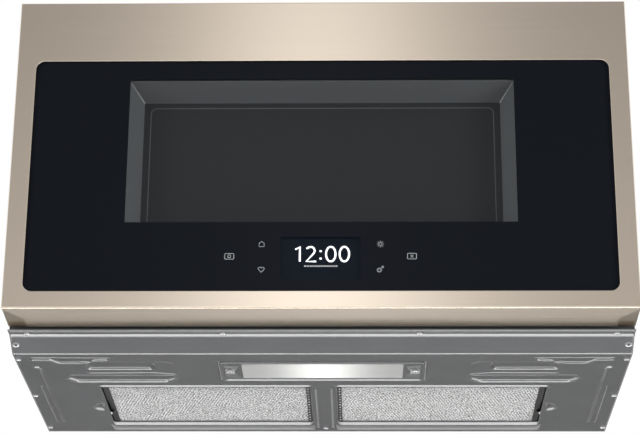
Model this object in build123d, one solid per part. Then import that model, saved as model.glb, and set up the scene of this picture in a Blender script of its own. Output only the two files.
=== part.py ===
"""Over-the-range microwave oven, one solid or group of like solids per sub-part.

Millimetres. X runs along the front to the right, Y from the front to the wall, Z up.
The origin is on the wall face of the back panel, at mid width, level with the base plate.
"""
from build123d import *
from math import atan2, tan
import os

# ---------------------------------------------------------------- overall sizes
CAB_W = 758.0            # cabinet, side to side
CAB_H = 436.0            # base plate to top panel
CAB_D = 357.0            # wall to the face of the front plate
DOOR_OVERHANG = 1.0      # the door stands this far past each side of the cabinet
DOOR_D = 57.0            # door thickness
DOOR_GAP = 5.0           # air gap between front plate and door
DOOR_DROP = 26.0         # door's lower edge above the base plate's underside
SHEET = 1.0              # steel sheet of the outer cabinet
FLANGE = 12.0            # inward flange along each edge of a side panel
SIDE_FRONT_LOW = 72.0    # the front flange stops short of the hinge brackets
FIT = 0.3                # side clearance of a part that drops into an opening
RUN = 0.05               # radial running clearance of a shaft or pin in its bore

CAB_X = CAB_W / 2
FACE_Y = -CAB_D
PLATE_BACK_Y = FACE_Y + SHEET
DOOR_X = CAB_X + DOOR_OVERHANG
DOOR_BACK_Y = FACE_Y - DOOR_GAP
DOOR_FRONT_Y = DOOR_BACK_Y - DOOR_D
DOOR_Z0 = DOOR_DROP
DOOR_Z1 = CAB_H
DOOR_MID_Z = (DOOR_Z0 + DOOR_Z1) / 2

# ---------------------------------------------------------------- mounting to wall and shelf
BOLT_HOLE_R = 4.0        # clearance hole for a 1/4 in bolt
BOLT_X = 292.0
BOLT_Y = -268.0
HOOK_SLOT_W = 46.0       # slots that hang the oven on its wall plate
HOOK_SLOT_H = 7.0
HOOK_SLOT_Z = 24.0
HOOK_SLOT_X = (110.0, 300.0)

# ---------------------------------------------------------------- cooking cavity
CAV_LEFT_ROOM = 54.0     # cabinet's left side to the cavity
BAY_W = 134.0            # component bay, from the cavity to the cabinet's right side
CAV_REAR_ROOM = 16.0     # cavity's back to the wall
ROOF_ROOM = 102.2        # height between the cavity's roof and the top panel
CAV_FLOOR_Z = 78.0
CAV_SHEET = 0.8
CAV_FLANGE = 10.0
VENT_HOLE_R = 1.6
VENT_PITCH = 6.0

CAV_X0 = -CAB_X + CAV_LEFT_ROOM
CAV_X1 = CAB_X - BAY_W
CAV_ROOF_Z = CAB_H - SHEET - ROOF_ROOM
CAV_Z1 = CAV_ROOF_Z - CAV_SHEET
CAV_BACK_Y = -CAV_REAR_ROOM
CAV_UNDER_Z = CAV_FLOOR_Z - CAV_SHEET
CAV_RIGHT_X = CAV_X1 + CAV_SHEET
TABLE_X = (CAV_X0 + CAV_X1) / 2
TABLE_Y = (PLATE_BACK_Y + CAV_BACK_Y) / 2

# ---------------------------------------------------------------- base pan
CHIN_RISE = 15.0         # height of the front lip above the base plate
CHIN_RUN = 25.0          # depth of the sloped chin
CHIN_BEHIND = 32.0       # fold between base plate and chin, behind the front plate's face
LIP_D = 20.0             # depth of the front lip
BEND_R = 3.0             # bend radius of the folds

CHIN_FOLD_Y = FACE_Y + CHIN_BEHIND
LIP_FOLD_Y = CHIN_FOLD_Y - CHIN_RUN
LIP_FRONT_Y = LIP_FOLD_Y - LIP_D
LIP_TOP_Z = CHIN_RISE + SHEET

LAMP_BEHIND = 66.5       # lamp cover's middle behind the chin's fold
LAMP_COVER_W = 256.0
LAMP_COVER_D = 73.0
LAMP_CORNER = 8.0
LENS_W = 201.0
LENS_D = 53.0
LENS_T = 2.5
LENS_LAP = 3.5           # lens edge hidden behind the cover
LAMP_BOX_H = 40.0
LAMP_BOX_D = 62.0
LAMP_FLANGE = 12.0       # lamp box's flange past the cover, each end
LAMP_FLANGE_Y = 10.0     # and in front and behind
SOCKET_R = 11.0
SOCKET_L = 22.0
LAMP_R = 9.0             # bulb of a cooktop lamp
LAMP_L = 34.0
LAMP_CAP_R = 6.0         # its base in the socket
LAMP_BOX_IN = 18.0       # lamp box's end wall inside the cover's edge
LAMP_SCREW_OUT = 5.8     # cover screw beyond the lamp box's end wall

LAMP_Y = CHIN_FOLD_Y + LAMP_BEHIND
LAMP_BOX_W = LAMP_COVER_W - 2 * LAMP_BOX_IN
LAMP_SCREW_X = LAMP_BOX_W / 2 + LAMP_SCREW_OUT

FILTER_IN_X = 17.0       # inner edge of a filter opening
FILTER_SIDE = 94.0       # outer edge of a filter opening to the cabinet's side
FILTER_BEHIND = 59.5     # front edge of a filter opening behind the lamp cover's middle
FILTER_REAR = 45.0       # back edge of a filter opening to the wall
FILTER_T = 8.0
FILTER_LAP = 4.5         # filter edge that rests on the pan, front and back
FILTER_HIDE = 3.0        # inner edge tucked behind the centre rib
FILTER_TRAVEL = 7.5      # slide outward that frees the inner edge
FILTER_PLAY = 0.2
FILTER_EDGE = 4.0        # visible width of the filter's folded edge
MESH_IN = 1.0            # mesh inside the filter's outer faces
TAB_W = 30.0             # wire pull on the filter's outer edge
TAB_D = 6.0
TAB_T = 0.9
RAIL_LAP = 6.0           # rail's cap over the filter's edge
RAIL_FOOT = 7.0
RAIL_SHORT = 8.0         # a rail starts this far from the filter's inner edge

FILTER_OUT_X = CAB_X - FILTER_SIDE
FILTER_FRONT_Y = LAMP_Y + FILTER_BEHIND
FILTER_BACK_Y = -FILTER_REAR
FILTER_Z0 = SHEET + FILTER_PLAY

# fields pressed up out of the left half of the pan, and mirrored on the right:
# each point is measured from the cabinet's side and from the chin's fold
BOAT = [(54.7, 94.0), (61.0, 82.3), (191.0, 83.7), (194.6, 95.3), (181.2, 108.7), (66.5, 108.6)]
PAD = [(83.5, 44.9), (90.1, 34.0), (169.6, 34.1), (171.6, 46.1), (165.8, 60.6), (85.5, 60.5)]
PRESS_DEPTH = 2.2
PRESS_CORNER = 4.0
LONG_BEAD_SIDE = 27.0    # beads along the sides, each measured from the cabinet's side
SHORT_BEAD_SIDE = 18.5
LONG_BEAD_BEHIND = 49.0  # front end of the long bead behind the chin's fold
BEAD_W = 3.0
BEAD_H = 0.2

BEADS = [(CAB_X - LONG_BEAD_SIDE, CHIN_FOLD_Y + LONG_BEAD_BEHIND, FILTER_BACK_Y - BEAD_W),
         (CAB_X - SHORT_BEAD_SIDE, FILTER_FRONT_Y - SHEET, FILTER_BACK_Y)]

# ---------------------------------------------------------------- screws
SCREW_R = 4.2
SCREW_HEAD = 1.9
SHANK_R = 1.7
SHANK_L = 7.0
BASE_SCREW_IN = 5.0      # from the cabinet's side
BASE_SCREW_FRONT = 18.0  # behind the chin's fold
BASE_SCREW_MID = 162.0   # from the wall
BASE_SCREW_BACK = 22.0
LIP_SCREW_IN = 11.0      # in front of the lip's fold
LIP_SCREW_X = 119.0
LIP_SCREW_SIDE = 22.0    # outer lip screw to the cabinet's side
RIB_SCREW_BACK = 18.5    # screw on the centre rib, from the wall

BASE_SCREWS = [(CAB_X - BASE_SCREW_IN, y)
               for y in (CHIN_FOLD_Y + BASE_SCREW_FRONT, -BASE_SCREW_MID, -BASE_SCREW_BACK)]
LIP_SCREWS = [(x, LIP_FOLD_Y - LIP_SCREW_IN) for x in (LIP_SCREW_X, CAB_X - LIP_SCREW_SIDE)]
RIB_SCREW = (0.0, -RIB_SCREW_BACK)

# ---------------------------------------------------------------- door
SKIN = 1.0               # bronze door skin
ROLL_R = 2.0             # its outer edges
GLASS_T = 4.0
GLASS_RECESS = 3.5       # glass behind the skin's face
OPEN_SIDE = 24.0         # skin beside the opening around the glass
OPEN_H = 306.0
OPEN_SILL = 21.5         # skin below the opening
OPEN_R = 11.0
GLASS_LAP = 6.0          # glass edge hidden behind the skin
FRAME_WALL = 3.0         # plastic subframe between skin and steel frame
FRAME_OPEN_IN = 11.0     # steel frame's opening inside the skin's, at the sides
FRAME_OPEN_TOP = 10.5    # and at the top
FRAME_OPEN_UNDER = 1.0   # its lower edge under the display carrier
SKIN_SHORT = 4.0         # skin ends this far in front of the door's back
CUT_FRONT = 4.0          # cut corner of the skin's lower and upper flanges
CUT_IN = 23.0
CUT_BACK = 33.0
WIN_SIDE = 118.0         # printed border beside the clear window
WIN_H = 192.5
WIN_SILL = 109.5         # above the door's lower edge
BEVEL_IN = 15.5          # each side of the bezel slopes in by this
BEVEL_D = 29.7           # depth of the bezel behind the glass
BEZEL_T = 1.5
BEZEL_LIP = 8.0
SCREEN_T = 0.8
SCREEN_LAP = 9.0
DISPLAY_W = 104.0
DISPLAY_H = 63.0
DISPLAY_Z = 90.5
DISPLAY_T = 7.0
CARRIER_W = 220.0
CARRIER_H = 72.0
CARRIER_WALL = 2.0
BOARD_T = 1.6
BOARD_STAND = 6.0

OPEN_W = 2 * (DOOR_X - OPEN_SIDE)
WIN_W = OPEN_W - 2 * WIN_SIDE

CHOKE_OUT = 27.0         # choke channel's outer wall beyond the cavity
CHOKE_IN = 6.0           # choke ring beyond the cavity
CHOKE_SHEET = 0.8
INNER_GLASS_T = 3.0
COVER_T = 2.0
SEAT_LIP = 8.0           # seat of the inner glass inside the choke ring
FINGER_PITCH = 22.0      # slots along the choke ring
FINGER_GAP = 2.5
FINGER_D = 9.0
FINGER_LIFT = 1.5        # slot's end above the choke channel's floor

# ---------------------------------------------------------------- door hinge
PIN_IN = 12.0            # pin's axis from the door's left face
PIN_BACK = 14.0          # pin's axis from the door's back
PIN_R = 3.0
PIN_LENGTH = 12.0
BUSH_R = 5.0
BUSH_L = 7.0
BUSH_FLANGE_R = 7.0
BUSH_FLANGE_T = 1.0
BRACKET_T = 2.5
BRACKET_HALF = 9.0
BRACKET_IN = 2.5         # bracket's plate above the door's lower edge
BRACKET_TAB = 33.0       # height of the tab welded behind the front plate
HINGE_PLAY = 0.2
ARM_T = 3.0              # reinforcing plate around the bushing
ARM_LENGTH = 60.0
ARM_D = 30.0

PIN_X = -DOOR_X + PIN_IN
PIN_Y = DOOR_BACK_Y - PIN_BACK
BRACKET_Z0 = DOOR_Z0 + BRACKET_IN
BRACKET_Z1 = BRACKET_Z0 + BRACKET_T
BUSH_Z0 = BRACKET_Z1 + HINGE_PLAY
FRAME_Z0 = BUSH_Z0 + BUSH_FLANGE_T
FRAME_Z1 = 2 * DOOR_MID_Z - FRAME_Z0
FRAME_X = DOOR_X - SKIN - FRAME_WALL

# planes through the door, front to back
GLASS_Y = DOOR_FRONT_Y + GLASS_RECESS
GLASS_BACK_Y = GLASS_Y + GLASS_T
SCREEN_Y = GLASS_BACK_Y + BEVEL_D
CHOKE_FLOOR_Y = SCREEN_Y + SCREEN_T
CHOKE_TOP_Y = CHOKE_FLOOR_Y + SHEET
RING_TOP_Y = DOOR_BACK_Y - COVER_T
GLASS_SEAT_Y = RING_TOP_Y - INNER_GLASS_T

# limits of openings and rings in the door
OPEN_Z0 = DOOR_Z0 + OPEN_SILL
OPEN_Z1 = OPEN_Z0 + OPEN_H
OPEN_MID_Z = (OPEN_Z0 + OPEN_Z1) / 2
WIN_Z0 = DOOR_Z0 + WIN_SILL
WIN_Z1 = WIN_Z0 + WIN_H
WIN_MID_Z = (WIN_Z0 + WIN_Z1) / 2
FRAME_OPEN_X = OPEN_W / 2 - FRAME_OPEN_IN
FRAME_OPEN_Z0 = DISPLAY_Z - CARRIER_H / 2 - FRAME_OPEN_UNDER
FRAME_OPEN_Z1 = OPEN_Z1 - FRAME_OPEN_TOP
CHOKE_X0 = CAV_X0 - CHOKE_OUT
CHOKE_X1 = CAV_X1 + CHOKE_OUT
CHOKE_Z0 = CAV_FLOOR_Z - CHOKE_OUT
CHOKE_Z1 = CAV_Z1 + CHOKE_OUT
RING_X0 = CAV_X0 - CHOKE_IN
RING_X1 = CAV_X1 + CHOKE_IN
RING_Z0 = CAV_FLOOR_Z - CHOKE_IN
RING_Z1 = CAV_Z1 + CHOKE_IN

DOOR_SCREW_R = 3.6
DOOR_SCREW_HEAD = 1.5
DOOR_SCREW_L = 6.0
DOOR_SCREW_IN = 9.0      # from the steel frame's side
DOOR_SCREW_END = 40.0    # from the steel frame's ends
DOOR_SCREWS = [(sx * (FRAME_X - DOOR_SCREW_IN), z) for sx in (-1, 1)
               for z in (FRAME_Z0 + DOOR_SCREW_END, DOOR_MID_Z, FRAME_Z1 - DOOR_SCREW_END)]

# ---------------------------------------------------------------- latch
LATCH_SIDE = 79.0        # latch bar's middle from the cabinet's side
HOOK_W = 12.0
HOOK_H = 8.0
HOOK_GAP_Z = 160.0       # lower hook to upper hook
HOOK_LOW_Z = 140.0
HOOK_REACH = 19.0        # hook behind the front plate's face
HOOK_NOSE = 3.0          # slope on the hook's tip
BARB_D = 6.0
BARB_H = 4.0
LATCH_LIFT = 4.5
LATCH_BAR_D = 6.0
LATCH_BAR_EXTRA = 20.0   # bar beyond the hooks
LATCH_STANDOFF = 3.0     # bar in front of the door's back panel
GUIDE_WALL = 2.0         # plastic guides that the bar slides in
GUIDE_L = 10.0
GUIDE_FROM_HOOK = 22.0   # guide to the nearer hook
SLOT_SIDE = 2.0          # room beside a hook in its slot
SLOT_END = 1.0           # room above and below the hook's travel
LEDGE_GAP = 0.3
LEDGE_H = 10.0
SPRING_R = 3.2
SPRING_L = 26.0
SPRING_WIRE = 0.8
SPRING_OUT = 4.0         # spring's axis beside the bar
PEG_R = 1.6              # peg on the bar that the spring pulls on
PEG_L = 8.0

LATCH_X = CAB_X - LATCH_SIDE
HOOK_TIP_Y = FACE_Y + HOOK_REACH
BARB_Y = HOOK_TIP_Y - BARB_D
HOOK_ZS = (HOOK_LOW_Z, HOOK_LOW_Z + HOOK_GAP_Z)
LATCH_MID_Z = (HOOK_ZS[0] + HOOK_ZS[1] + HOOK_H) / 2
BAR_BACK_Y = DOOR_BACK_Y - SHEET - LATCH_STANDOFF
SPRING_X = LATCH_X + HOOK_W / 2 + SPRING_OUT

# ---------------------------------------------------------------- interlock
INTERLOCK_IN = 14.0      # bracket from the latch bar's middle, inward
INTERLOCK_OUT = 10.0     # web from the latch bar's middle, outward
INTERLOCK_T = 3.0
INTERLOCK_D = 47.0
INTERLOCK_UNDER = 30.0   # bracket below the lower hook
INTERLOCK_OVER = 22.0    # bracket above the upper hook
SWITCH_W = 6.4
SWITCH_D = 16.0
SWITCH_H = 20.0
SWITCH_OFF = 3.3         # switch's middle beside the latch bar's middle
SWITCH_PEG_R = 1.4
SWITCH_PEGS = (-5.0, 13.0)
SWITCH_PEG_IN = 9.6      # pegs behind the switch's face
BLADE_L = 7.0
BLADE_W = 3.2
BLADE_T = 0.8
BLADE_PITCH = 6.0
BUTTON = 3.0
BUTTON_OUT = 2.5
BUTTON_IN = 2.5          # button inside its pocket
BUTTON_PLAY = 0.15
BUTTON_TRAVEL = 1.0
BUTTON_GAP = 0.3
POCKET_D = BUTTON_IN + BUTTON_TRAVEL + 0.5

SWITCH_FACE_Y = HOOK_TIP_Y + BUTTON_GAP + BUTTON_OUT
INTERLOCK_X0 = LATCH_X - INTERLOCK_IN
INTERLOCK_WEB_X = LATCH_X + INTERLOCK_OUT
# one switch behind the lower hook and two side by side behind the upper hook
SWITCHES = [("secondary", LATCH_X + SWITCH_OFF, HOOK_ZS[0]), ("primary", LATCH_X - SWITCH_OFF, HOOK_ZS[1]),
            ("monitor", LATCH_X + SWITCH_OFF, HOOK_ZS[1])]

# ---------------------------------------------------------------- turntable
TRAY_ROOM = 8.0          # tray's rim to the cavity's front and back
TRAY_T = 5.0
TRAY_RIM = 9.0
TRAY_SLOPE = 14.0        # width of the slope from the tray's floor to its rim
WHEEL_R = 7.0
WHEEL_W = 6.0
WHEEL_TRACK_R = 110.0
WHEEL_GAP = 0.3          # wheel to floor and wheel to tray
RING_R = 100.0
RING_T = 4.0
AXLE_R = 1.5
AXLE_CAP_R = 2.6
AXLE_CAP_T = 1.5
MOTOR_SIZE = 50.0
MOTOR_T = 15.0
MOTOR_EAR_W = 12.0
MOTOR_EAR_T = 1.5
MOTOR_PLUG_W = 18.0
MOTOR_PLUG_D = 9.0
DRIVE_R = 3.0
DRIVE_BORE = 10.0        # depth of the motor's bore
DRIVE_ROOM = 1.5         # cavity floor's hole around the shaft
COUPLER_R = 10.0
LOBE_REACH = 18.0
LOBE_W = 8.0
LOBE_H = 7.0
LUG_H = 4.0

TRAY_R = (CAV_BACK_Y - PLATE_BACK_Y) / 2 - TRAY_ROOM
WHEEL_Z = CAV_FLOOR_Z + WHEEL_GAP + WHEEL_R
TRAY_Z = WHEEL_Z + WHEEL_R + WHEEL_GAP

# ---------------------------------------------------------------- ventilation
GRILLE_SIDE = 159.0      # grille's end to the cabinet's side
GRILLE_D = 38.0
GRILLE_H = 34.0
GRILLE_BAR = 1.6
GRILLE_PITCH = 10.0
GRILLE_DEEP = 4.0        # depth of the grille's ribs and rails
GRILLE_FOOT_IN = 20.0    # foot's middle from the grille's end
GRILLE_FOOT_W = 12.0
GRILLE_FOOT_DROP = 10.0
DUCT_IN = 25.0           # duct's side inside the grille's end
DUCT_BEHIND = 39.0       # duct's mouth behind the front plate's face
DUCT_REAR = 130.0        # duct's back end to the wall
DUCT_UNDER = 6.2         # duct's roof below the top panel
CHARCOAL_T = 16.0
CHARCOAL_IN = 2.0        # charcoal pad inside the duct's mouth
CHARCOAL_PITCH = 14.0
CHARCOAL_GROOVE_W = 4.0
CHARCOAL_GROOVE_D = 3.0
CHARCOAL_BORDER = 8.0
WHEEL_ROOM = 8.0         # blower wheel to the wall of its drum
BLOWER_W = 90.0
BLOWER_WALL = 1.5
BLOWER_Y = -72.0
MOTOR_ROOM = 14.0        # motor's radius less than the drum's
BLOWER_MOTOR_W = 92.0
MOTOR_APART = 2.0        # motor to each housing
SADDLE_HALF = 24.0
SADDLE_LEG = 14.0
BLOWER_SIDE = 4.0        # wheel to each side wall of its housing
INLET_IN = 6.0           # housing's inlet inside the wheel's rim
SCROLL_FOOT_W = 40.0
SCROLL_UNDER = 0.6       # drum above the cavity's roof
SCROLL_OVER = 1.6        # drum below the top panel
OUTLET_LESS = 28.0       # outlet's height less than the drum's
BLOWER_SHAFT_R = 4.0
BLADES = 32
EXHAUST_W = 254.0        # duct opening in the top panel, 10 in by 3 1/4 in
EXHAUST_D = 83.0
EXHAUST_Y = -66.0
EXHAUST_LAP = 10.0       # cover past the opening, each end
EXHAUST_LAP_Y = 4.0      # and in front and behind
EXHAUST_SCREW_Y = 33.2   # screw in front of and behind the opening's middle

GRILLE_W = CAB_W - 2 * GRILLE_SIDE
DUCT_W = GRILLE_W - 2 * DUCT_IN
DUCT_FRONT_Y = FACE_Y + DUCT_BEHIND
DUCT_BACK_Y = -DUCT_REAR
DUCT_H = ROOF_ROOM - DUCT_UNDER
SCROLL_R = (ROOF_ROOM - SCROLL_UNDER - SCROLL_OVER) / 2
BLOWER_R = SCROLL_R - WHEEL_ROOM
BLOWER_MOTOR_R = SCROLL_R - MOTOR_ROOM
BLOWER_Z = CAV_ROOF_Z + SCROLL_UNDER + SCROLL_R
OUTLET_H = 2 * SCROLL_R - OUTLET_LESS
HOUSING_X0 = BLOWER_MOTOR_W / 2 + MOTOR_APART
HOUSING_X1 = HOUSING_X0 + BLOWER_W + 2 * BLOWER_SIDE + 2 * BLOWER_WALL
BLOWER_WHEEL_X = HOUSING_X0 + BLOWER_WALL + BLOWER_SIDE
EXHAUST_SCREWS = [(sx * (EXHAUST_W / 2 + EXHAUST_LAP / 2), EXHAUST_Y + sy * EXHAUST_SCREW_Y)
                  for sx in (-1, 1) for sy in (-1, 1)]

# ---------------------------------------------------------------- component bay
SHELF_Z = 62.0
SHELF_FLANGE = 30.0
SHELF_IN = 6.0           # shelf behind the front plate
SHELF_STEP = 20.0        # its outer flange starts this much farther back
GUIDE_AHEAD = 24.0       # waveguide's middle in front of the turntable's
GUIDE_BELOW = 86.0       # and below the cavity's ceiling
GUIDE_W = 40.0           # waveguide, from the cavity wall to the magnetron
GUIDE_D = 90.0
GUIDE_H = 96.0
GUIDE_T = 1.2
MOUTH_D = 68.0           # waveguide's mouth in the cavity wall
MOUTH_H = 72.0
MICA_LAP_Y = 8.0         # mica cover past the mouth, at the sides
MICA_LAP_Z = 8.0         # above and below
MICA_T = 0.9
MICA_CORNER = 6.0
HOLES_BELOW = 46.0       # vent holes below the cavity's ceiling
LAMP_HOLE_BEHIND = 48.0  # lamp's holes behind the front plate
AIR_HOLE_AHEAD = 74.0    # air holes in front of the cavity's back

CAVITY_BULB_R = 8.0
CAVITY_BULB_L = 14.0
CAVITY_BULB_OUT = 4.0    # bulb's tip from the cavity's wall
CAVITY_CAP_R = 5.5
CAVITY_CAP_L = 10.0
POCKET_L = 30.0          # steel pocket around the bulb
POCKET_HALF = 17.0
POCKET_T = 1.2
POCKET_END = 4.0
CAVITY_SOCKET_R = 8.0
CAVITY_SOCKET_L = 8.0

ANTENNA_R = 8.0
ANTENNA_L = 24.0
MAG_W = 78.0
MAG_D = 84.0
MAG_H = 92.0
MAG_YOKE_W = 48.36       # yoke's width, the rest of MAG_W being the filter box
MAG_YOKE_T = 2.0
MAG_ANODE_R = 19.0
MAG_FINS = 5
MAG_FIN_T = 0.8
MAG_BOX_D = 60.0
MAG_BOX_H = 48.0

TRAFO_SIDE = 67.0        # transformer's middle to the cabinet's side
TRAFO_BEHIND = 94.0      # and behind the front plate
TRAFO_W = 96.0
TRAFO_D = 62.0
TRAFO_H = 82.0
TRAFO_FOOT_T = 1.5
TRAFO_FOOT_LAP = 8.0
TRAFO_WINDOW_X = 30.0    # window's middle from the core's
TRAFO_WINDOW_W = 24.0
TRAFO_WINDOW_Z0 = 18.0   # iron below the windows
TRAFO_WINDOW_TOP = 16.0  # iron above the windows
COIL_OUT = 16.0          # coil in front of the core and behind it
COIL_APART = 0.5
COIL_CORNER = 12.0

CAN_SIDE = 79.0          # capacitor's middle to the cabinet's side
CAN_Y = -162.0
CAN_W = 58.0
CAN_D = 34.0
CAN_H = 82.0
CAN_STRAP_Z = 36.0
CAN_STRAP_H = 12.0
CAN_STRAP_T = 1.0
CAN_PIN_X = 12.0
CAN_PIN_W = 6.0
CAN_PIN_T = 0.8
CAN_PIN_H = 10.0
DIODE_X = 44.0           # diode's axis from the capacitor's middle
DIODE_R = 3.5
DIODE_L = 22.0
DIODE_Z = 6.0
DIODE_LEG_W = 3.0
DIODE_LEG_T = 1.2
DIODE_LEG_IN = 2.0

FAN_SIDE = 65.0          # fan's axis to the cabinet's side
FAN_Z = 196.0
FAN_Y = -64.0            # front face of the fan's shroud
FAN_R = 48.0
FAN_ROOM = 2.0           # blades to the shroud's ring
SHROUD_T = 2.0
SHROUD_RING_D = 24.0
SPIDER_BACK = 20.0       # spider behind the shroud's face
SPIDER_T = 4.0
SPIDER_Z = 14.0
SPIDER_H = 6.0
SPIDER_LAP = 3.0         # spider's arms past the blades' tips
FAN_MOTOR_W = 60.0
FAN_MOTOR_D = 18.0
FAN_MOTOR_H = 48.0
FAN_COIL_X = 12.0        # coil's inner side from the fan's axis
FAN_COIL_W = 24.0
FAN_COIL_H = 32.0
FAN_CAP_R = 12.0
FAN_CAP_L = 8.0
FAN_SHAFT_R = 2.5
FAN_SHAFT_L = 34.0
FAN_HUB_R = 11.0
FAN_HUB_L = 10.0
FAN_BLADES = 5
FAN_BLADE_W = 30.0
FAN_BLADE_H = 38.0
FAN_BLADE_T = 1.4
FAN_BLADE_R = 28.0       # blade's middle from the fan's axis
FAN_PITCH = 32           # blade's twist in degrees
LOUVRES = 12             # slots in the back panel behind the fan
LOUVRE_PITCH = 8.0
LOUVRE_H = 60.0

POWER_APART = 14.0       # power board beside the duct
POWER_BEHIND = 56.0      # and behind the front plate
POWER_W = 130.0
POWER_D = 110.0
POWER_STAND = 8.0
POWER_FOOT_R = 3.0
POWER_FOOT_X = 6.0       # foot from the board's side, or from the cavity's
POWER_FOOT_Y = 8.0
CUTOUT_R = 8.0
CUTOUT_H = 8.0
CUTOUT_EAR = 12.0        # ear from the cutout's middle
CUTOUT_EAR_W = 6.0
CUTOUT_EAR_T = 1.0
CUTOUT_IN = 95.0         # roof cutout from the cavity's left wall
CUTOUT_BEHIND = 6.0      # and behind the turntable's axis
YOKE_CUTOUT_X = 23.4     # magnetron cutout from the waveguide's end

CORD_SIDE = 49.0         # cord bushing's axis to the cabinet's side
CORD_Y = -150.0
CORD_R = 9.5
BUSH_WALL = 2.0
COLLAR_OUT = 3.0         # bushing's collar past its sleeve
CLIP_OUT = 1.5           # and its clip
COLLAR_T = 2.0
SLEEVE_IN = 7.0          # sleeve under the top panel's inner face

GUIDE_Y = TABLE_Y - GUIDE_AHEAD
GUIDE_Z = CAV_Z1 - GUIDE_BELOW
LAMP_HOLE_Y = PLATE_BACK_Y + LAMP_HOLE_BEHIND
LAMP_HOLE_Z = CAV_Z1 - HOLES_BELOW
AIR_HOLE_Y = CAV_BACK_Y - AIR_HOLE_AHEAD
AIR_HOLE_Z = CAV_Z1 - HOLES_BELOW
GUIDE_END_X = CAV_RIGHT_X + GUIDE_W
SHELF_TOP_Z = SHELF_Z + SHEET
TRAFO_X = CAB_X - TRAFO_SIDE
TRAFO_Y = PLATE_BACK_Y + TRAFO_BEHIND
COIL_Z0 = SHELF_TOP_Z + TRAFO_WINDOW_Z0
COIL_H = (TRAFO_H - TRAFO_WINDOW_Z0 - TRAFO_WINDOW_TOP) / 2
COIL_W = 2 * TRAFO_WINDOW_X + TRAFO_WINDOW_W - 2 * COIL_APART
CAN_X = CAB_X - CAN_SIDE
FAN_X = CAB_X - FAN_SIDE
CORD_X = CAB_X - CORD_SIDE


# ---------------------------------------------------------------- helpers
def block(x0, x1, y0, y1, z0, z1):
    """Box between two limits on each axis."""
    return Pos((x0 + x1) / 2, (y0 + y1) / 2, (z0 + z1) / 2) * Box(x1 - x0, y1 - y0, z1 - z0)


def rod(radius, length, at, direction="Z"):
    """Cylinder that starts at a point and runs along +X, +Y or +Z."""
    turn = {"X": Rot(0, 90, 0), "Y": Rot(-90, 0, 0), "Z": Rot(0, 0, 0)}[direction]
    return Pos(*at) * turn * Cylinder(radius, length, align=(Align.CENTER, Align.CENTER, Align.MIN))


def tube(outer, inner, length, at, direction="Z"):
    """Round tube or washer."""
    return rod(outer, length, at, direction) - rod(inner, length, at, direction)


def upright_slab(width, height, x, z, y0, y1, radius):
    """Plate that stands in the XZ plane, with rounded corners."""
    face = Plane.XZ * Pos(x, z) * RectangleRounded(width, height, radius)
    return Pos(0, y1, 0) * extrude(face, y1 - y0)


def flat_slab(width, depth, x, y, z0, z1, radius):
    """Plate that lies in the XY plane, with rounded corners."""
    return Pos(x, y, z0) * extrude(RectangleRounded(width, depth, radius), z1 - z0)


def both_sides(shape):
    """A shape and its mirror image across the middle of the cabinet."""
    return [shape, mirror(shape, Plane.YZ)]


def upper_twin(shape):
    """Mirror image of a door part across the door's mid height."""
    return mirror(shape, Plane.XY.offset(DOOR_MID_Z))


def folded_sheet(points, thickness, radius, x0, x1):
    """Sheet bent along lines parallel to X, given its lower side as (y, z) points."""
    path = FilletPolyline(*points, radius=radius)
    section = Plane.YZ * make_face(offset(path, thickness, side=Side.RIGHT).edges())
    return Pos(x0, 0, 0) * extrude(section, x1 - x0)


def screw(head_r, head_h, shank_r, shank_l, at, direction="+Z"):
    """Pan-head screw: `at` is under the head, the shank runs along the direction."""
    head = Pos(0, 0, -head_h) * Cylinder(head_r, head_h, align=(Align.CENTER, Align.CENTER, Align.MIN))
    head = fillet(head.edges().filter_by(GeomType.CIRCLE).sort_by(Axis.Z)[0], head_h * 0.4)
    body = head + Cylinder(shank_r, shank_l, align=(Align.CENTER, Align.CENTER, Align.MIN))
    turn = {"+Z": Rot(0, 0, 0), "-Z": Rot(180, 0, 0), "+X": Rot(0, 90, 0), "-X": Rot(0, -90, 0),
            "-Y": Rot(90, 0, 0), "+Y": Rot(-90, 0, 0)}[direction]
    return Pos(*at) * turn * body


def save(name, *shapes):
    """Write one sub-part as a STEP file."""
    solids = [solid for shape in shapes for solid in shape.solids()]
    export_step(Compound(children=solids) if len(solids) > 1 else solids[0], f"parts/{name}.step")


def screw_holes(places, z, radius=SHANK_R):
    """Through holes for screws that enter from below."""
    return [rod(radius, 4 * SHEET, (side * x, y, z - 2 * SHEET))
            for x, y in places for side in (-1, 1)]


# ---------------------------------------------------------------- cabinet shell
def pressed_dish(outline, depth):
    """Cutter and dish of a field that is pressed up out of the base sheet, on the left."""
    points = [(x - CAB_X, CHIN_FOLD_Y + y) for x, y in outline]
    face = make_face(Polyline(*points, close=True))
    face = fillet(face.vertices(), PRESS_CORNER)
    cutter = extrude(offset(face, -SHEET), depth)
    dish = extrude(face, depth + SHEET)
    return cutter, dish


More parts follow.
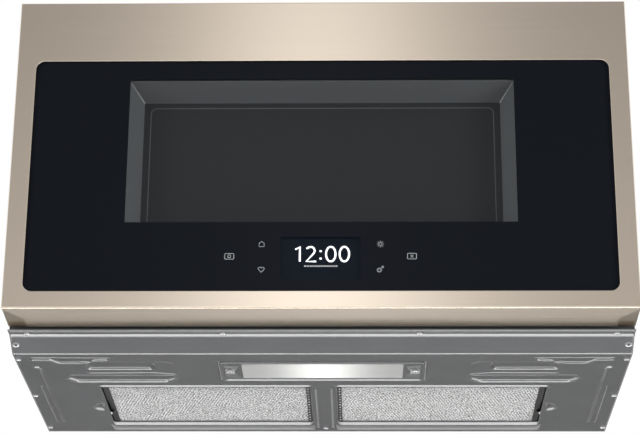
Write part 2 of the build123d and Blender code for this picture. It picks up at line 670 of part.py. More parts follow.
def base_pan():
    profile = [(-SHEET, 0), (CHIN_FOLD_Y, 0), (LIP_FOLD_Y, CHIN_RISE), (LIP_FRONT_Y, CHIN_RISE)]
    pan = folded_sheet(profile, SHEET, BEND_R, -CAB_X, CAB_X)
    cutters = []
    for outline in (BOAT, PAD):
        cutter, dish = pressed_dish(outline, PRESS_DEPTH)
        pan += both_sides(dish)
        cutters += both_sides(cutter)
    for x, y0, y1 in BEADS:
        bead = block(x - BEAD_W / 2, x + BEAD_W / 2, y0, y1, -BEAD_H, 0)
        pan += both_sides(bead)
    pan -= cutters
    pan -= flat_slab(LAMP_COVER_W + 2 * FIT, LAMP_COVER_D + 2 * FIT, 0, LAMP_Y, -SHEET, 2 * SHEET,
                     LAMP_CORNER)
    opening_w = FILTER_OUT_X - FILTER_IN_X
    opening_d = FILTER_BACK_Y - FILTER_FRONT_Y
    opening = flat_slab(opening_w, opening_d, FILTER_IN_X + opening_w / 2, FILTER_FRONT_Y + opening_d / 2,
                        -SHEET, 2 * SHEET, 3.0)
    pan -= both_sides(opening)
    pan -= screw_holes(BASE_SCREWS + [RIB_SCREW], 0)
    pan -= screw_holes(LIP_SCREWS, CHIN_RISE)
    return pan


def side_profile():
    """Side panel's outline in the YZ plane."""
    slope = atan2(CHIN_RISE, CHIN_RUN)
    shift = SHEET * tan(slope / 2)
    points = [(-SHEET, SHEET), (CHIN_FOLD_Y + shift, SHEET), (LIP_FOLD_Y + shift, LIP_TOP_Z),
              (PLATE_BACK_Y, LIP_TOP_Z), (PLATE_BACK_Y, CAB_H - SHEET), (-SHEET, CAB_H - SHEET)]
    outline = make_face(Polyline(*points, close=True))
    fold = outline.vertices().sort_by_distance((CHIN_FOLD_Y, 0, 0))[0]
    return fillet(fold, BEND_R)


def side_panel():
    """Right-hand panel: web with flanges turned in along the base, wall, top and front."""
    web = Pos(CAB_X - SHEET, 0, 0) * extrude(Plane.YZ * side_profile(), SHEET)
    x0 = CAB_X - FLANGE
    x1 = CAB_X - SHEET
    low = block(x0, x1, CHIN_FOLD_Y + BEND_R + SHEET, -SHEET, SHEET, 2 * SHEET)
    back = block(x0, x1, -2 * SHEET, -SHEET, SHEET, CAB_H - SHEET)
    high = block(x0, x1, PLATE_BACK_Y, -SHEET, CAB_H - 2 * SHEET, CAB_H - SHEET)
    front = block(x0, x1, PLATE_BACK_Y, PLATE_BACK_Y + SHEET, SIDE_FRONT_LOW,
                  2 * DOOR_MID_Z - SIDE_FRONT_LOW)
    panel = web + [low, back, high, front]
    panel -= [rod(SHANK_R, 4 * SHEET, (x, y, 0)) for x, y in BASE_SCREWS]
    return panel


def top_panel():
    panel = block(-CAB_X, CAB_X, FACE_Y, 0, CAB_H - SHEET, CAB_H)
    grille_x = GRILLE_W / 2 + FIT
    panel -= block(-grille_x, grille_x, FACE_Y, FACE_Y + GRILLE_D + FIT, CAB_H - SHEET, CAB_H)
    panel -= block(-EXHAUST_W / 2, EXHAUST_W / 2, EXHAUST_Y - EXHAUST_D / 2, EXHAUST_Y + EXHAUST_D / 2,
                   CAB_H - SHEET, CAB_H)
    panel -= [rod(BOLT_HOLE_R, SHEET, (side * BOLT_X, BOLT_Y, CAB_H - SHEET)) for side in (-1, 1)]
    panel -= rod(CORD_R + BUSH_WALL, SHEET, (CORD_X, CORD_Y, CAB_H - SHEET))
    panel -= [rod(SHANK_R, SHEET, (x, y, CAB_H - SHEET)) for x, y in EXHAUST_SCREWS]
    return panel


def back_panel():
    panel = block(-CAB_X, CAB_X, -SHEET, 0, 0, CAB_H - SHEET)
    for x in HOOK_SLOT_X:
        slot = block(x - HOOK_SLOT_W / 2, x + HOOK_SLOT_W / 2, -SHEET, 0,
                     HOOK_SLOT_Z - HOOK_SLOT_H / 2, HOOK_SLOT_Z + HOOK_SLOT_H / 2)
        panel -= both_sides(slot)
    for i in range(LOUVRES):
        x = FAN_X - LOUVRES * LOUVRE_PITCH / 2 + i * LOUVRE_PITCH
        panel -= block(x, x + 0.4 * LOUVRE_PITCH, -SHEET, 0, FAN_Z - LOUVRE_H / 2, FAN_Z + LOUVRE_H / 2)
    return panel


def front_plate():
    plate = block(-CAB_X, CAB_X, FACE_Y, PLATE_BACK_Y, LIP_TOP_Z, CAB_H - SHEET)
    plate -= block(CAV_X0, CAV_X1, FACE_Y, PLATE_BACK_Y, CAV_FLOOR_Z, CAV_Z1)
    grille_x = GRILLE_W / 2 + FIT
    plate -= block(-grille_x, grille_x, FACE_Y, PLATE_BACK_Y, CAB_H - GRILLE_H - FIT, CAB_H)
    for z in HOOK_ZS:
        plate -= hook_slot(z, FACE_Y, PLATE_BACK_Y)
    slot = block(PIN_X - BRACKET_HALF - FIT, PIN_X + BRACKET_HALF + FIT, FACE_Y, PLATE_BACK_Y,
                 BRACKET_Z0 - FIT, BRACKET_Z1 + FIT)
    return plate - [slot, upper_twin(slot)]


def hook_slot(z, y0, y1):
    """Slot that lets a hook through, with its barb below and its lift above."""
    half = HOOK_W / 2 + SLOT_SIDE
    return block(LATCH_X - half, LATCH_X + half, y0, y1, z - BARB_H - SLOT_END,
                 z + HOOK_H + LATCH_LIFT + SLOT_END)


# ---------------------------------------------------------------- hinge
def hinge_bracket():
    """Lower bracket: a plate out through the front plate, and a tab welded behind it."""
    plate = block(PIN_X - BRACKET_HALF, PIN_X + BRACKET_HALF, PIN_Y, PLATE_BACK_Y + BRACKET_T,
                  BRACKET_Z0, BRACKET_Z1)
    nose = rod(BRACKET_HALF, BRACKET_T, (PIN_X, PIN_Y, BRACKET_Z0))
    tab = block(PIN_X - BRACKET_HALF, PIN_X + BRACKET_HALF, PLATE_BACK_Y, PLATE_BACK_Y + BRACKET_T,
                BRACKET_Z0, BRACKET_Z0 + BRACKET_TAB)
    return plate + nose + tab - rod(PIN_R, BRACKET_T, (PIN_X, PIN_Y, BRACKET_Z0))


def hinge_pin():
    return rod(PIN_R, PIN_LENGTH, (PIN_X, PIN_Y, BRACKET_Z0))


def hinge_bushing():
    bore = PIN_R + RUN
    flange = tube(BUSH_FLANGE_R, bore, BUSH_FLANGE_T, (PIN_X, PIN_Y, BUSH_Z0))
    sleeve = tube(BUSH_R, bore, BUSH_L, (PIN_X, PIN_Y, FRAME_Z0))
    return flange + sleeve


def hinge_arm():
    """Reinforcing plate inside the steel frame, bored for the bushing."""
    plate = block(-FRAME_X + SHEET, -FRAME_X + SHEET + ARM_LENGTH, DOOR_BACK_Y - ARM_D, DOOR_BACK_Y - SHEET,
                  FRAME_Z0 + SHEET, FRAME_Z0 + SHEET + ARM_T)
    return plate - rod(BUSH_R, 3 * ARM_T, (PIN_X, PIN_Y, FRAME_Z0))


# ---------------------------------------------------------------- door
def cut_corner(z0, z1):
    """Wedge that clears the hinge bracket at the door's lower left corner."""
    points = [(-DOOR_X - SHEET, DOOR_FRONT_Y + CUT_FRONT), (-DOOR_X, DOOR_FRONT_Y + CUT_FRONT),
              (-DOOR_X + CUT_IN, DOOR_FRONT_Y + CUT_BACK), (-DOOR_X + CUT_IN, DOOR_BACK_Y),
              (-DOOR_X - SHEET, DOOR_BACK_Y)]
    return Pos(0, 0, z0) * extrude(make_face(Polyline(*points, close=True)), z1 - z0)


def all_corners():
    """The four cut corners, up to the steel frame's wall."""
    lower = both_sides(cut_corner(DOOR_Z0 - SHEET, FRAME_Z0))
    return lower + [upper_twin(shape) for shape in lower]


def door_skin():
    back = DOOR_BACK_Y - SKIN_SHORT
    outer = block(-DOOR_X, DOOR_X, DOOR_FRONT_Y, back, DOOR_Z0, DOOR_Z1)
    front_edges = outer.faces().sort_by(Axis.Y)[0].edges()
    outer = fillet(front_edges, ROLL_R)
    inner = block(-DOOR_X + SKIN, DOOR_X - SKIN, DOOR_FRONT_Y + SKIN, back, DOOR_Z0 + SKIN, DOOR_Z1 - SKIN)
    skin = outer - fillet(inner.faces().sort_by(Axis.Y)[0].edges(), ROLL_R - SKIN)
    collar = upright_slab(OPEN_W + 2 * SKIN, OPEN_H + 2 * SKIN, 0, OPEN_MID_Z, DOOR_FRONT_Y + SKIN, GLASS_Y,
                          OPEN_R + SKIN)
    skin += collar
    skin -= upright_slab(OPEN_W, OPEN_H, 0, OPEN_MID_Z, DOOR_FRONT_Y, GLASS_Y, OPEN_R)
    rim = [edge for edge in skin.edges()
           if abs(edge.center().Y - DOOR_FRONT_Y) < 0.01 and abs(edge.center().X) < OPEN_W / 2 + 1
           and OPEN_Z0 - 1 < edge.center().Z < OPEN_Z1 + 1]
    skin = fillet(rim, SKIN * 0.8)
    return skin - all_corners()


def door_subframe():
    """Plastic ring inside the skin that carries the glass in a pocket."""
    front = DOOR_FRONT_Y + SKIN
    back = DOOR_BACK_Y - SKIN_SHORT
    ring = block(-DOOR_X + SKIN, DOOR_X - SKIN, front, back, DOOR_Z0 + SKIN, DOOR_Z1 - SKIN)
    ring = fillet(ring.faces().sort_by(Axis.Y)[0].edges(), ROLL_R - SKIN + 0.01)
    ring -= block(-FRAME_X, FRAME_X, GLASS_BACK_Y, back, FRAME_Z0, FRAME_Z1)
    pocket_x = OPEN_W / 2 + GLASS_LAP + FIT
    ring -= block(-pocket_x, pocket_x, front, GLASS_BACK_Y, OPEN_Z0 - GLASS_LAP - FIT,
                  OPEN_Z1 + GLASS_LAP + FIT)
    return ring - all_corners()


def front_glass():
    return upright_slab(OPEN_W + 2 * GLASS_LAP, OPEN_H + 2 * GLASS_LAP, 0, OPEN_MID_Z, GLASS_Y, GLASS_BACK_Y,
                        OPEN_R)


def door_frame():
    """Steel box frame: walls around the door and a front plate behind the glass."""
    back = DOOR_BACK_Y - SHEET
    frame = block(-FRAME_X, FRAME_X, GLASS_BACK_Y, back, FRAME_Z0, FRAME_Z1)
    frame -= block(-FRAME_X + SHEET, FRAME_X - SHEET, GLASS_BACK_Y + SHEET, back,
                   FRAME_Z0 + SHEET, FRAME_Z1 - SHEET)
    frame -= block(-FRAME_OPEN_X, FRAME_OPEN_X, GLASS_BACK_Y, GLASS_BACK_Y + SHEET,
                   FRAME_OPEN_Z0, FRAME_OPEN_Z1)
    bore = rod(BUSH_R, 3 * SHEET, (PIN_X, PIN_Y, FRAME_Z0 - SHEET))
    return frame - [bore, upper_twin(bore)]


def door_back_panel():
    """Back of the door: flat wall, choke channel walls and the sheet that carries the window."""
    wall = block(-FRAME_X, FRAME_X, DOOR_BACK_Y - SHEET, DOOR_BACK_Y, FRAME_Z0, FRAME_Z1)
    trough = block(CHOKE_X0, CHOKE_X1, CHOKE_FLOOR_Y, DOOR_BACK_Y, CHOKE_Z0, CHOKE_Z1)
    hollow = block(CHOKE_X0 + SHEET, CHOKE_X1 - SHEET, CHOKE_TOP_Y, DOOR_BACK_Y,
                   CHOKE_Z0 + SHEET, CHOKE_Z1 - SHEET)
    window = block(-WIN_W / 2 + BEVEL_IN, WIN_W / 2 - BEVEL_IN, CHOKE_FLOOR_Y, CHOKE_TOP_Y,
                   WIN_Z0 + BEVEL_IN, WIN_Z1 - BEVEL_IN)
    panel = wall + trough - hollow - window
    for z in HOOK_ZS:
        panel -= hook_slot(z, DOOR_BACK_Y - SHEET, DOOR_BACK_Y)
    return panel - [rod(SHANK_R, SHEET, (x, DOOR_BACK_Y - SHEET, z), "Y") for x, z in DOOR_SCREWS]


def choke_ring():
    """Slotted ring that stands around the cavity's mouth and carries the inner glass."""
    ring = block(RING_X0, RING_X1, CHOKE_TOP_Y, RING_TOP_Y, RING_Z0, RING_Z1)
    t = CHOKE_SHEET
    ring -= block(RING_X0 + t, RING_X1 - t, CHOKE_TOP_Y, RING_TOP_Y, RING_Z0 + t, RING_Z1 - t)
    seat = block(RING_X0, RING_X1, GLASS_SEAT_Y - t, GLASS_SEAT_Y, RING_Z0, RING_Z1)
    seat -= block(RING_X0 + SEAT_LIP, RING_X1 - SEAT_LIP, GLASS_SEAT_Y - t, GLASS_SEAT_Y,
                  RING_Z0 + SEAT_LIP, RING_Z1 - SEAT_LIP)
    ring += seat
    y0 = CHOKE_TOP_Y + FINGER_LIFT
    y1 = y0 + FINGER_D
    cuts = []
    for i in range(int((RING_X1 - RING_X0 - 2 * FINGER_GAP) // FINGER_PITCH)):
        x = RING_X0 + FINGER_PITCH * (i + 0.6)
        cuts.append(block(x, x + FINGER_GAP, y0, y1, RING_Z0, RING_Z0 + t))
        cuts.append(block(x, x + FINGER_GAP, y0, y1, RING_Z1 - t, RING_Z1))
    for i in range(int((RING_Z1 - RING_Z0 - 2 * FINGER_GAP) // FINGER_PITCH)):
        z = RING_Z0 + FINGER_PITCH * (i + 0.6)
        cuts.append(block(RING_X0, RING_X0 + t, y0, y1, z, z + FINGER_GAP))
        cuts.append(block(RING_X1 - t, RING_X1, y0, y1, z, z + FINGER_GAP))
    return ring - cuts


def inner_glass():
    t = CHOKE_SHEET + FIT
    return block(RING_X0 + t, RING_X1 - t, GLASS_SEAT_Y, RING_TOP_Y, RING_Z0 + t, RING_Z1 - t)


def choke_cover():
    """Plastic ring over the choke channel that also holds the inner glass."""
    edge = SHEET + FIT
    cover = block(CHOKE_X0 + edge, CHOKE_X1 - edge, RING_TOP_Y, DOOR_BACK_Y, CHOKE_Z0 + edge, CHOKE_Z1 - edge)
    return cover - block(RING_X0 + SEAT_LIP, RING_X1 - SEAT_LIP, RING_TOP_Y, DOOR_BACK_Y,
                         RING_Z0 + SEAT_LIP, RING_Z1 - SEAT_LIP)


def window_bezel():
    """Four bevelled sides behind the glass, with a lip on the glass and one on the screen."""
    def frustum(grow, y0, y1):
        front = Plane.XZ.offset(-y0) * Pos(0, WIN_MID_Z) * Rectangle(WIN_W + 2 * grow, WIN_H + 2 * grow)
        back = Plane.XZ.offset(-y1) * Pos(0, WIN_MID_Z) * Rectangle(
            WIN_W - 2 * BEVEL_IN + 2 * grow, WIN_H - 2 * BEVEL_IN + 2 * grow)
        return loft([front.face(), back.face()])

    shell = frustum(BEZEL_T, GLASS_BACK_Y, SCREEN_Y) - frustum(0, GLASS_BACK_Y, SCREEN_Y)
    lip = upright_slab(WIN_W + 2 * BEZEL_LIP, WIN_H + 2 * BEZEL_LIP, 0, WIN_MID_Z, GLASS_BACK_Y,
                       GLASS_BACK_Y + BEZEL_T, 3.0)
    lap = BEZEL_LIP - BEVEL_IN
    foot = upright_slab(WIN_W + 2 * lap, WIN_H + 2 * lap, 0, WIN_MID_Z, SCREEN_Y - BEZEL_T, SCREEN_Y, 3.0)
    core = frustum(BEZEL_T * 0.5, GLASS_BACK_Y, SCREEN_Y)
    return shell + (lip - core) + (foot - core)


def window_screen():
    width = WIN_W - 2 * BEVEL_IN + 2 * SCREEN_LAP
    height = WIN_H - 2 * BEVEL_IN + 2 * SCREEN_LAP
    return upright_slab(width, height, 0, WIN_MID_Z, SCREEN_Y, CHOKE_FLOOR_Y, 4.0)


def display_module():
    """Flat display glued to the back of the glass, with a shallow recess in its back."""
    y1 = GLASS_BACK_Y + DISPLAY_T
    rim = 4.0
    body = upright_slab(DISPLAY_W, DISPLAY_H, 0, DISPLAY_Z, GLASS_BACK_Y, y1, 1.5)
    return body - block(-DISPLAY_W / 2 + rim, DISPLAY_W / 2 - rim, y1 - 1.0, y1,
                        DISPLAY_Z - DISPLAY_H / 2 + rim, DISPLAY_Z + DISPLAY_H / 2 - rim)


def display_carrier():
    """Plastic tray behind the display that holds the control board on posts."""
    y1 = GLASS_BACK_Y + DISPLAY_T + 2 * CARRIER_WALL
    tray = upright_slab(CARRIER_W, CARRIER_H, 0, DISPLAY_Z, GLASS_BACK_Y, y1, 3.0)
    tray -= upright_slab(CARRIER_W - 2 * CARRIER_WALL, CARRIER_H - 2 * CARRIER_WALL, 0, DISPLAY_Z,
                         GLASS_BACK_Y, y1 - CARRIER_WALL, 2.0)
    cable_x, cable_z = 18.0, 12.0
    tray -= block(-cable_x, cable_x, y1 - CARRIER_WALL, y1, DISPLAY_Z - cable_z, DISPLAY_Z + cable_z)
    posts = [rod(3.0, BOARD_STAND, (sx * CARRIER_W * 0.44, y1, DISPLAY_Z + sz * CARRIER_H * 0.38), "Y")
             for sx in (-1, 1) for sz in (-1, 1)]
    bar_z = DISPLAY_H / 2 - 5.5
    backing = [block(-DISPLAY_W / 2, DISPLAY_W / 2, y1 - 2 * CARRIER_WALL, y1 - CARRIER_WALL,
                     DISPLAY_Z + sz * bar_z - 2.0, DISPLAY_Z + sz * bar_z + 2.0) for sz in (-1, 1)]
    return tray + posts + backing


def control_board():
    """Control board with its larger components, each given by place, size and height."""
    y0 = GLASS_BACK_Y + DISPLAY_T + 2 * CARRIER_WALL + BOARD_STAND
    y1 = y0 + BOARD_T
    board = upright_slab(CARRIER_W * 0.96, CARRIER_H * 0.9, 0, DISPLAY_Z, y0, y1, 1.5)
    parts = [(-80.0, 12.0, 24.0, 18.0, 6.0), (-40.0, -10.0, 16.0, 16.0, 2.0), (-12.0, 8.0, 14.0, 14.0, 1.8),
             (24.0, -14.0, 30.0, 10.0, 7.0), (62.0, 10.0, 18.0, 18.0, 5.0), (88.0, -14.0, 12.0, 20.0, 7.0)]
    for x, z, w, h, t in parts:
        board += block(x - w / 2, x + w / 2, y1, y1 + t, DISPLAY_Z + z - h / 2, DISPLAY_Z + z + h / 2)
    return board


# ---------------------------------------------------------------- latch
def latch_plate():
    """Sliding bar with two hooks that reach through the front plate."""
    x0 = LATCH_X - HOOK_W / 2
    x1 = LATCH_X + HOOK_W / 2
    plate = block(x0, x1, BAR_BACK_Y - LATCH_BAR_D, BAR_BACK_Y, HOOK_ZS[0] - LATCH_BAR_EXTRA,
                  HOOK_ZS[1] + HOOK_H + LATCH_BAR_EXTRA)
    root = BAR_BACK_Y - 1.0
    for z in HOOK_ZS:
        points = [(root, z), (BARB_Y, z), (BARB_Y, z - BARB_H), (HOOK_TIP_Y - HOOK_NOSE, z - BARB_H),
                  (HOOK_TIP_Y, z + HOOK_NOSE / 2), (HOOK_TIP_Y, z + HOOK_H), (root, z + HOOK_H)]
        plate += Pos(x0, 0, 0) * extrude(Plane.YZ * make_face(Polyline(*points, close=True)), HOOK_W)
    peg_z = LATCH_MID_Z + SPRING_L / 2 + PEG_R + 0.4
    peg = rod(PEG_R, PEG_L, (x1, BAR_BACK_Y - LATCH_BAR_D / 2, peg_z), "X")
    return plate + peg


def latch_guides():
    """Two plastic guides on the door's back panel that the bar slides in."""
    half = HOOK_W / 2 + FIT
    guides = []
    for z in (HOOK_ZS[0] + HOOK_H + GUIDE_FROM_HOOK, HOOK_ZS[1] - GUIDE_FROM_HOOK - GUIDE_L):
        guide = block(LATCH_X - half - GUIDE_WALL, LATCH_X + half + GUIDE_WALL,
                      BAR_BACK_Y - LATCH_BAR_D - FIT - GUIDE_WALL, DOOR_BACK_Y - SHEET, z, z + GUIDE_L)
        guides.append(guide - block(LATCH_X - half, LATCH_X + half, BAR_BACK_Y - LATCH_BAR_D - FIT,
                                    BAR_BACK_Y + FIT, z, z + GUIDE_L))
    return guides


def latch_spring():
    """Return spring beside the bar, drawn as the tube that its coils fill."""
    y = BAR_BACK_Y - LATCH_BAR_D / 2
    return tube(SPRING_R, SPRING_R - SPRING_WIRE, SPRING_L, (SPRING_X, y, LATCH_MID_Z - SPRING_L / 2))


def spring_anchor():
    """Tab on the door's back panel that the latch spring pulls on."""
    z = LATCH_MID_Z - SPRING_L / 2
    return block(SPRING_X - SPRING_OUT + FIT, SPRING_X + SPRING_OUT, BAR_BACK_Y - LATCH_BAR_D,
                 DOOR_BACK_Y - SHEET, z - 3.0, z - FIT)


# ---------------------------------------------------------------- interlock
def interlock_bracket():
    """Plastic bracket behind the front plate: catch ledges and a web that holds the switches."""
    z0 = HOOK_ZS[0] - INTERLOCK_UNDER
    z1 = HOOK_ZS[1] + HOOK_H + INTERLOCK_OVER
    x1 = INTERLOCK_WEB_X + INTERLOCK_T
    bracket = block(INTERLOCK_X0, x1, PLATE_BACK_Y, PLATE_BACK_Y + INTERLOCK_T, z0, z1)
    bracket += block(INTERLOCK_WEB_X, x1, PLATE_BACK_Y, PLATE_BACK_Y + INTERLOCK_D, z0, z1)
    for z in HOOK_ZS:
        bracket -= hook_slot(z, PLATE_BACK_Y, PLATE_BACK_Y + INTERLOCK_T)
        top = z - LEDGE_GAP
        bracket += block(LATCH_X - HOOK_W / 2 - SLOT_SIDE, INTERLOCK_WEB_X, PLATE_BACK_Y,
                         BARB_Y - 2 * LEDGE_GAP, top - LEDGE_H, top)
    peg_x = LATCH_X - 2 * SWITCH_OFF
    peg_y = SWITCH_FACE_Y + SWITCH_PEG_IN
    for z in HOOK_ZS:
        for dz in SWITCH_PEGS:
            bracket += rod(SWITCH_PEG_R, INTERLOCK_WEB_X - peg_x, (peg_x, peg_y, z + dz), "X")
    return bracket


def microswitch(x, z):
    """Switch case with a pocket for its button and holes for the bracket's pegs."""
    mid = z + HOOK_H / 2
    case = block(x - SWITCH_W / 2, x + SWITCH_W / 2, SWITCH_FACE_Y, SWITCH_FACE_Y + SWITCH_D,
                 mid - SWITCH_H / 2, mid + SWITCH_H / 2)
    half = BUTTON / 2 + BUTTON_PLAY
    case -= block(x - half, x + half, SWITCH_FACE_Y, SWITCH_FACE_Y + POCKET_D, mid - half, mid + half)
    pegs = [rod(SWITCH_PEG_R, SWITCH_W, (x - SWITCH_W / 2, SWITCH_FACE_Y + SWITCH_PEG_IN, z + dz), "X")
            for dz in SWITCH_PEGS]
    y0 = SWITCH_FACE_Y + SWITCH_D
    blades = [block(x - BLADE_T / 2, x + BLADE_T / 2, y0, y0 + BLADE_L,
                    mid + i * BLADE_PITCH - BLADE_W / 2, mid + i * BLADE_PITCH + BLADE_W / 2)
              for i in (-1, 0, 1)]
    return case - pegs + blades


def switch_button(x, z):
    mid = z + HOOK_H / 2
    return block(x - BUTTON / 2, x + BUTTON / 2, SWITCH_FACE_Y - BUTTON_OUT, SWITCH_FACE_Y + BUTTON_IN,
                 mid - BUTTON / 2, mid + BUTTON / 2)


# ---------------------------------------------------------------- cavity and its fittings
def cavity_box():
    """Floor, roof, sides and back, seam-welded, each with a flange along its front edge."""
    t = CAV_SHEET
    y0 = PLATE_BACK_Y
    y1 = CAV_BACK_Y + t
    flange_x0 = CAV_X0 - CAV_FLANGE
    flange_x1 = CAV_X1 + CAV_FLANGE
    floor = block(CAV_X0 - t, CAV_X1 + t, y0, y1, CAV_UNDER_Z, CAV_FLOOR_Z)
    floor += block(flange_x0, flange_x1, y0, y0 + t, CAV_FLOOR_Z - CAV_FLANGE, CAV_FLOOR_Z)
    floor -= rod(DRIVE_R + DRIVE_ROOM, 3 * t, (TABLE_X, TABLE_Y, CAV_UNDER_Z - t))
    roof = block(CAV_X0 - t, CAV_X1 + t, y0, y1, CAV_Z1, CAV_ROOF_Z)
    roof += block(flange_x0, flange_x1, y0, y0 + t, CAV_Z1, CAV_Z1 + CAV_FLANGE)
    left = block(CAV_X0 - t, CAV_X0, y0, y1, CAV_FLOOR_Z, CAV_Z1)
    left += block(flange_x0, CAV_X0, y0, y0 + t, CAV_FLOOR_Z, CAV_Z1)
    left -= hole_grid(CAV_X0 - 1.5 * t, AIR_HOLE_Y, AIR_HOLE_Z, 8, 3)
    right = block(CAV_X1, CAV_X1 + t, y0, y1, CAV_FLOOR_Z, CAV_Z1)
    right += block(CAV_X1, flange_x1, y0, y0 + t, CAV_FLOOR_Z, CAV_Z1)
    right -= hole_grid(CAV_X1 - t / 2, LAMP_HOLE_Y - 2 * VENT_PITCH, LAMP_HOLE_Z - 1.5 * VENT_PITCH, 5, 4)
    right -= block(CAV_X1, CAV_X1 + t, GUIDE_Y - MOUTH_D / 2, GUIDE_Y + MOUTH_D / 2,
                   GUIDE_Z - MOUTH_H / 2, GUIDE_Z + MOUTH_H / 2)
    back = block(CAV_X0, CAV_X1, CAV_BACK_Y, y1, CAV_FLOOR_Z, CAV_Z1)
    return [floor, roof, left, right, back]


def hole_grid(x, y, z, columns, rows):
    """Rows of small round holes through a side wall."""
    return [rod(VENT_HOLE_R, 2 * CAV_SHEET, (x, y + VENT_PITCH * i, z + VENT_PITCH * j), "X")
            for i in range(columns) for j in range(rows)]


def mica_cover():
    """Mica sheet over the waveguide's mouth, flat on the cavity wall."""
    half_d = MOUTH_D / 2 + MICA_LAP_Y
    half_h = MOUTH_H / 2 + MICA_LAP_Z
    slab = block(CAV_X1 - MICA_T, CAV_X1, GUIDE_Y - half_d, GUIDE_Y + half_d,
                 GUIDE_Z - half_h, GUIDE_Z + half_h)
    return fillet(slab.edges().filter_by(Axis.X), MICA_CORNER)


def cavity_lamp():
    """Lamp bulb that shines through the holes in the cavity's right wall."""
    x = CAV_RIGHT_X + CAVITY_BULB_OUT
    bulb = rod(CAVITY_BULB_R, CAVITY_BULB_L, (x, LAMP_HOLE_Y, LAMP_HOLE_Z), "X")
    bulb = fillet(bulb.edges().filter_by(GeomType.CIRCLE).sort_by(Axis.X)[0], 0.75 * CAVITY_BULB_R)
    return bulb + rod(CAVITY_CAP_R, CAVITY_CAP_L, (x + CAVITY_BULB_L, LAMP_HOLE_Y, LAMP_HOLE_Z), "X")


def cavity_lamp_holder():
    """Steel pocket on the cavity wall with the lamp's socket in its end."""
    x0 = CAV_RIGHT_X
    x1 = x0 + POCKET_L
    half = POCKET_HALF
    inner = POCKET_HALF - POCKET_T
    y = LAMP_HOLE_Y
    z = LAMP_HOLE_Z
    pocket = block(x0, x1, y - half, y + half, z - half, z + half)
    pocket -= block(x0, x1 - POCKET_END, y - inner, y + inner, z - inner, z + inner)
    socket = tube(CAVITY_SOCKET_R, CAVITY_CAP_R, CAVITY_SOCKET_L, (x1 - CAVITY_SOCKET_L, y, z), "X")
    return pocket - rod(CAVITY_SOCKET_R, POCKET_END, (x1 - POCKET_END, y, z), "X") + socket


# ---------------------------------------------------------------- turntable
def turntable_motor():
    z1 = CAV_UNDER_Z
    can = flat_slab(MOTOR_SIZE, MOTOR_SIZE, TABLE_X, TABLE_Y, z1 - MOTOR_T, z1, 8.0)
    ears = block(TABLE_X - MOTOR_SIZE * 0.68, TABLE_X + MOTOR_SIZE * 0.68, TABLE_Y - MOTOR_EAR_W / 2,
                 TABLE_Y + MOTOR_EAR_W / 2, z1 - MOTOR_EAR_T, z1)
    plug_y = TABLE_Y + MOTOR_SIZE / 2
    plug = block(TABLE_X - MOTOR_PLUG_W / 2, TABLE_X + MOTOR_PLUG_W / 2, plug_y, plug_y + MOTOR_PLUG_D,
                 z1 - MOTOR_T + 1.0, z1 - 2 * MOTOR_EAR_T)
    return can + ears + plug - rod(DRIVE_R + RUN, DRIVE_BORE, (TABLE_X, TABLE_Y, z1 - DRIVE_BORE))


def drive_coupler():
    """Motor shaft with its three-lobed coupler."""
    shaft_z = CAV_UNDER_Z - 0.8 * DRIVE_BORE
    shaft = rod(DRIVE_R, TRAY_Z - LUG_H - shaft_z, (TABLE_X, TABLE_Y, shaft_z))
    top = TRAY_Z - LUG_H - FIT
    hub = rod(COUPLER_R, top - CAV_FLOOR_Z - 1.0, (TABLE_X, TABLE_Y, CAV_FLOOR_Z + 1.0))
    lobe_top = TRAY_Z - 1.0
    lobes = [Pos(TABLE_X, TABLE_Y, 0) * Rot(0, 0, 120 * i)
             * block(0, LOBE_REACH, -LOBE_W / 2, LOBE_W / 2, lobe_top - LOBE_H, lobe_top) for i in range(3)]
    return shaft + hub + lobes


def tray_lugs():
    """Lugs under the tray that the coupler's lobes push on."""
    return [Pos(TABLE_X, TABLE_Y, 0) * Rot(0, 0, 120 * i + 60)
            * block(COUPLER_R + 2.0, LOBE_REACH + 4.0, -LOBE_W / 2, LOBE_W / 2, TRAY_Z - LUG_H, TRAY_Z)
            for i in range(3)]


def glass_tray():
    """Round glass tray with a raised rim."""
    z = TRAY_Z
    rim = TRAY_R - TRAY_SLOPE
    with BuildPart() as tray:
        with BuildSketch(Plane.XZ):
            with BuildLine():
                Polyline((0, z), (rim, z), (TRAY_R - 3.0, z + TRAY_RIM), (TRAY_R, z + TRAY_RIM + 1.5),
                         (TRAY_R, z + TRAY_RIM + TRAY_T), (TRAY_R - 6.0, z + TRAY_RIM + TRAY_T),
                         (rim - 2.0, z + TRAY_T), (0, z + TRAY_T), close=True)
            make_face()
        revolve(axis=Axis.Z)
    disc = Pos(TABLE_X, TABLE_Y, 0) * tray.part
    return disc + tray_lugs()


def roller_ring():
    """Plastic ring with three stub axles."""
    ring = tube(RING_R + RING_T / 2, RING_R - RING_T / 2, RING_T, (TABLE_X, TABLE_Y, WHEEL_Z - RING_T / 2))
    for i in range(3):
        place = Pos(TABLE_X, TABLE_Y, WHEEL_Z) * Rot(0, 0, 120 * i + 30)
        length = WHEEL_TRACK_R + WHEEL_W / 2 + 0.5 - RING_R
        axle = rod(AXLE_R, length, (RING_R, 0, 0), "X")
        shoulder_l = WHEEL_TRACK_R - WHEEL_W / 2 - FIT - RING_R
        shoulder = tube(2 * AXLE_R, AXLE_R - 0.1, shoulder_l, (RING_R, 0, 0), "X")
        cap = rod(AXLE_CAP_R, AXLE_CAP_T, (WHEEL_TRACK_R + WHEEL_W / 2 + FIT, 0, 0), "X")
        ring += place * (axle + shoulder + cap)
    return ring


def roller_wheel(i):
    wheel = tube(WHEEL_R, AXLE_R + RUN, WHEEL_W, (WHEEL_TRACK_R - WHEEL_W / 2, 0, 0), "X")
    return Pos(TABLE_X, TABLE_Y, WHEEL_Z) * Rot(0, 0, 120 * i + 30) * wheel


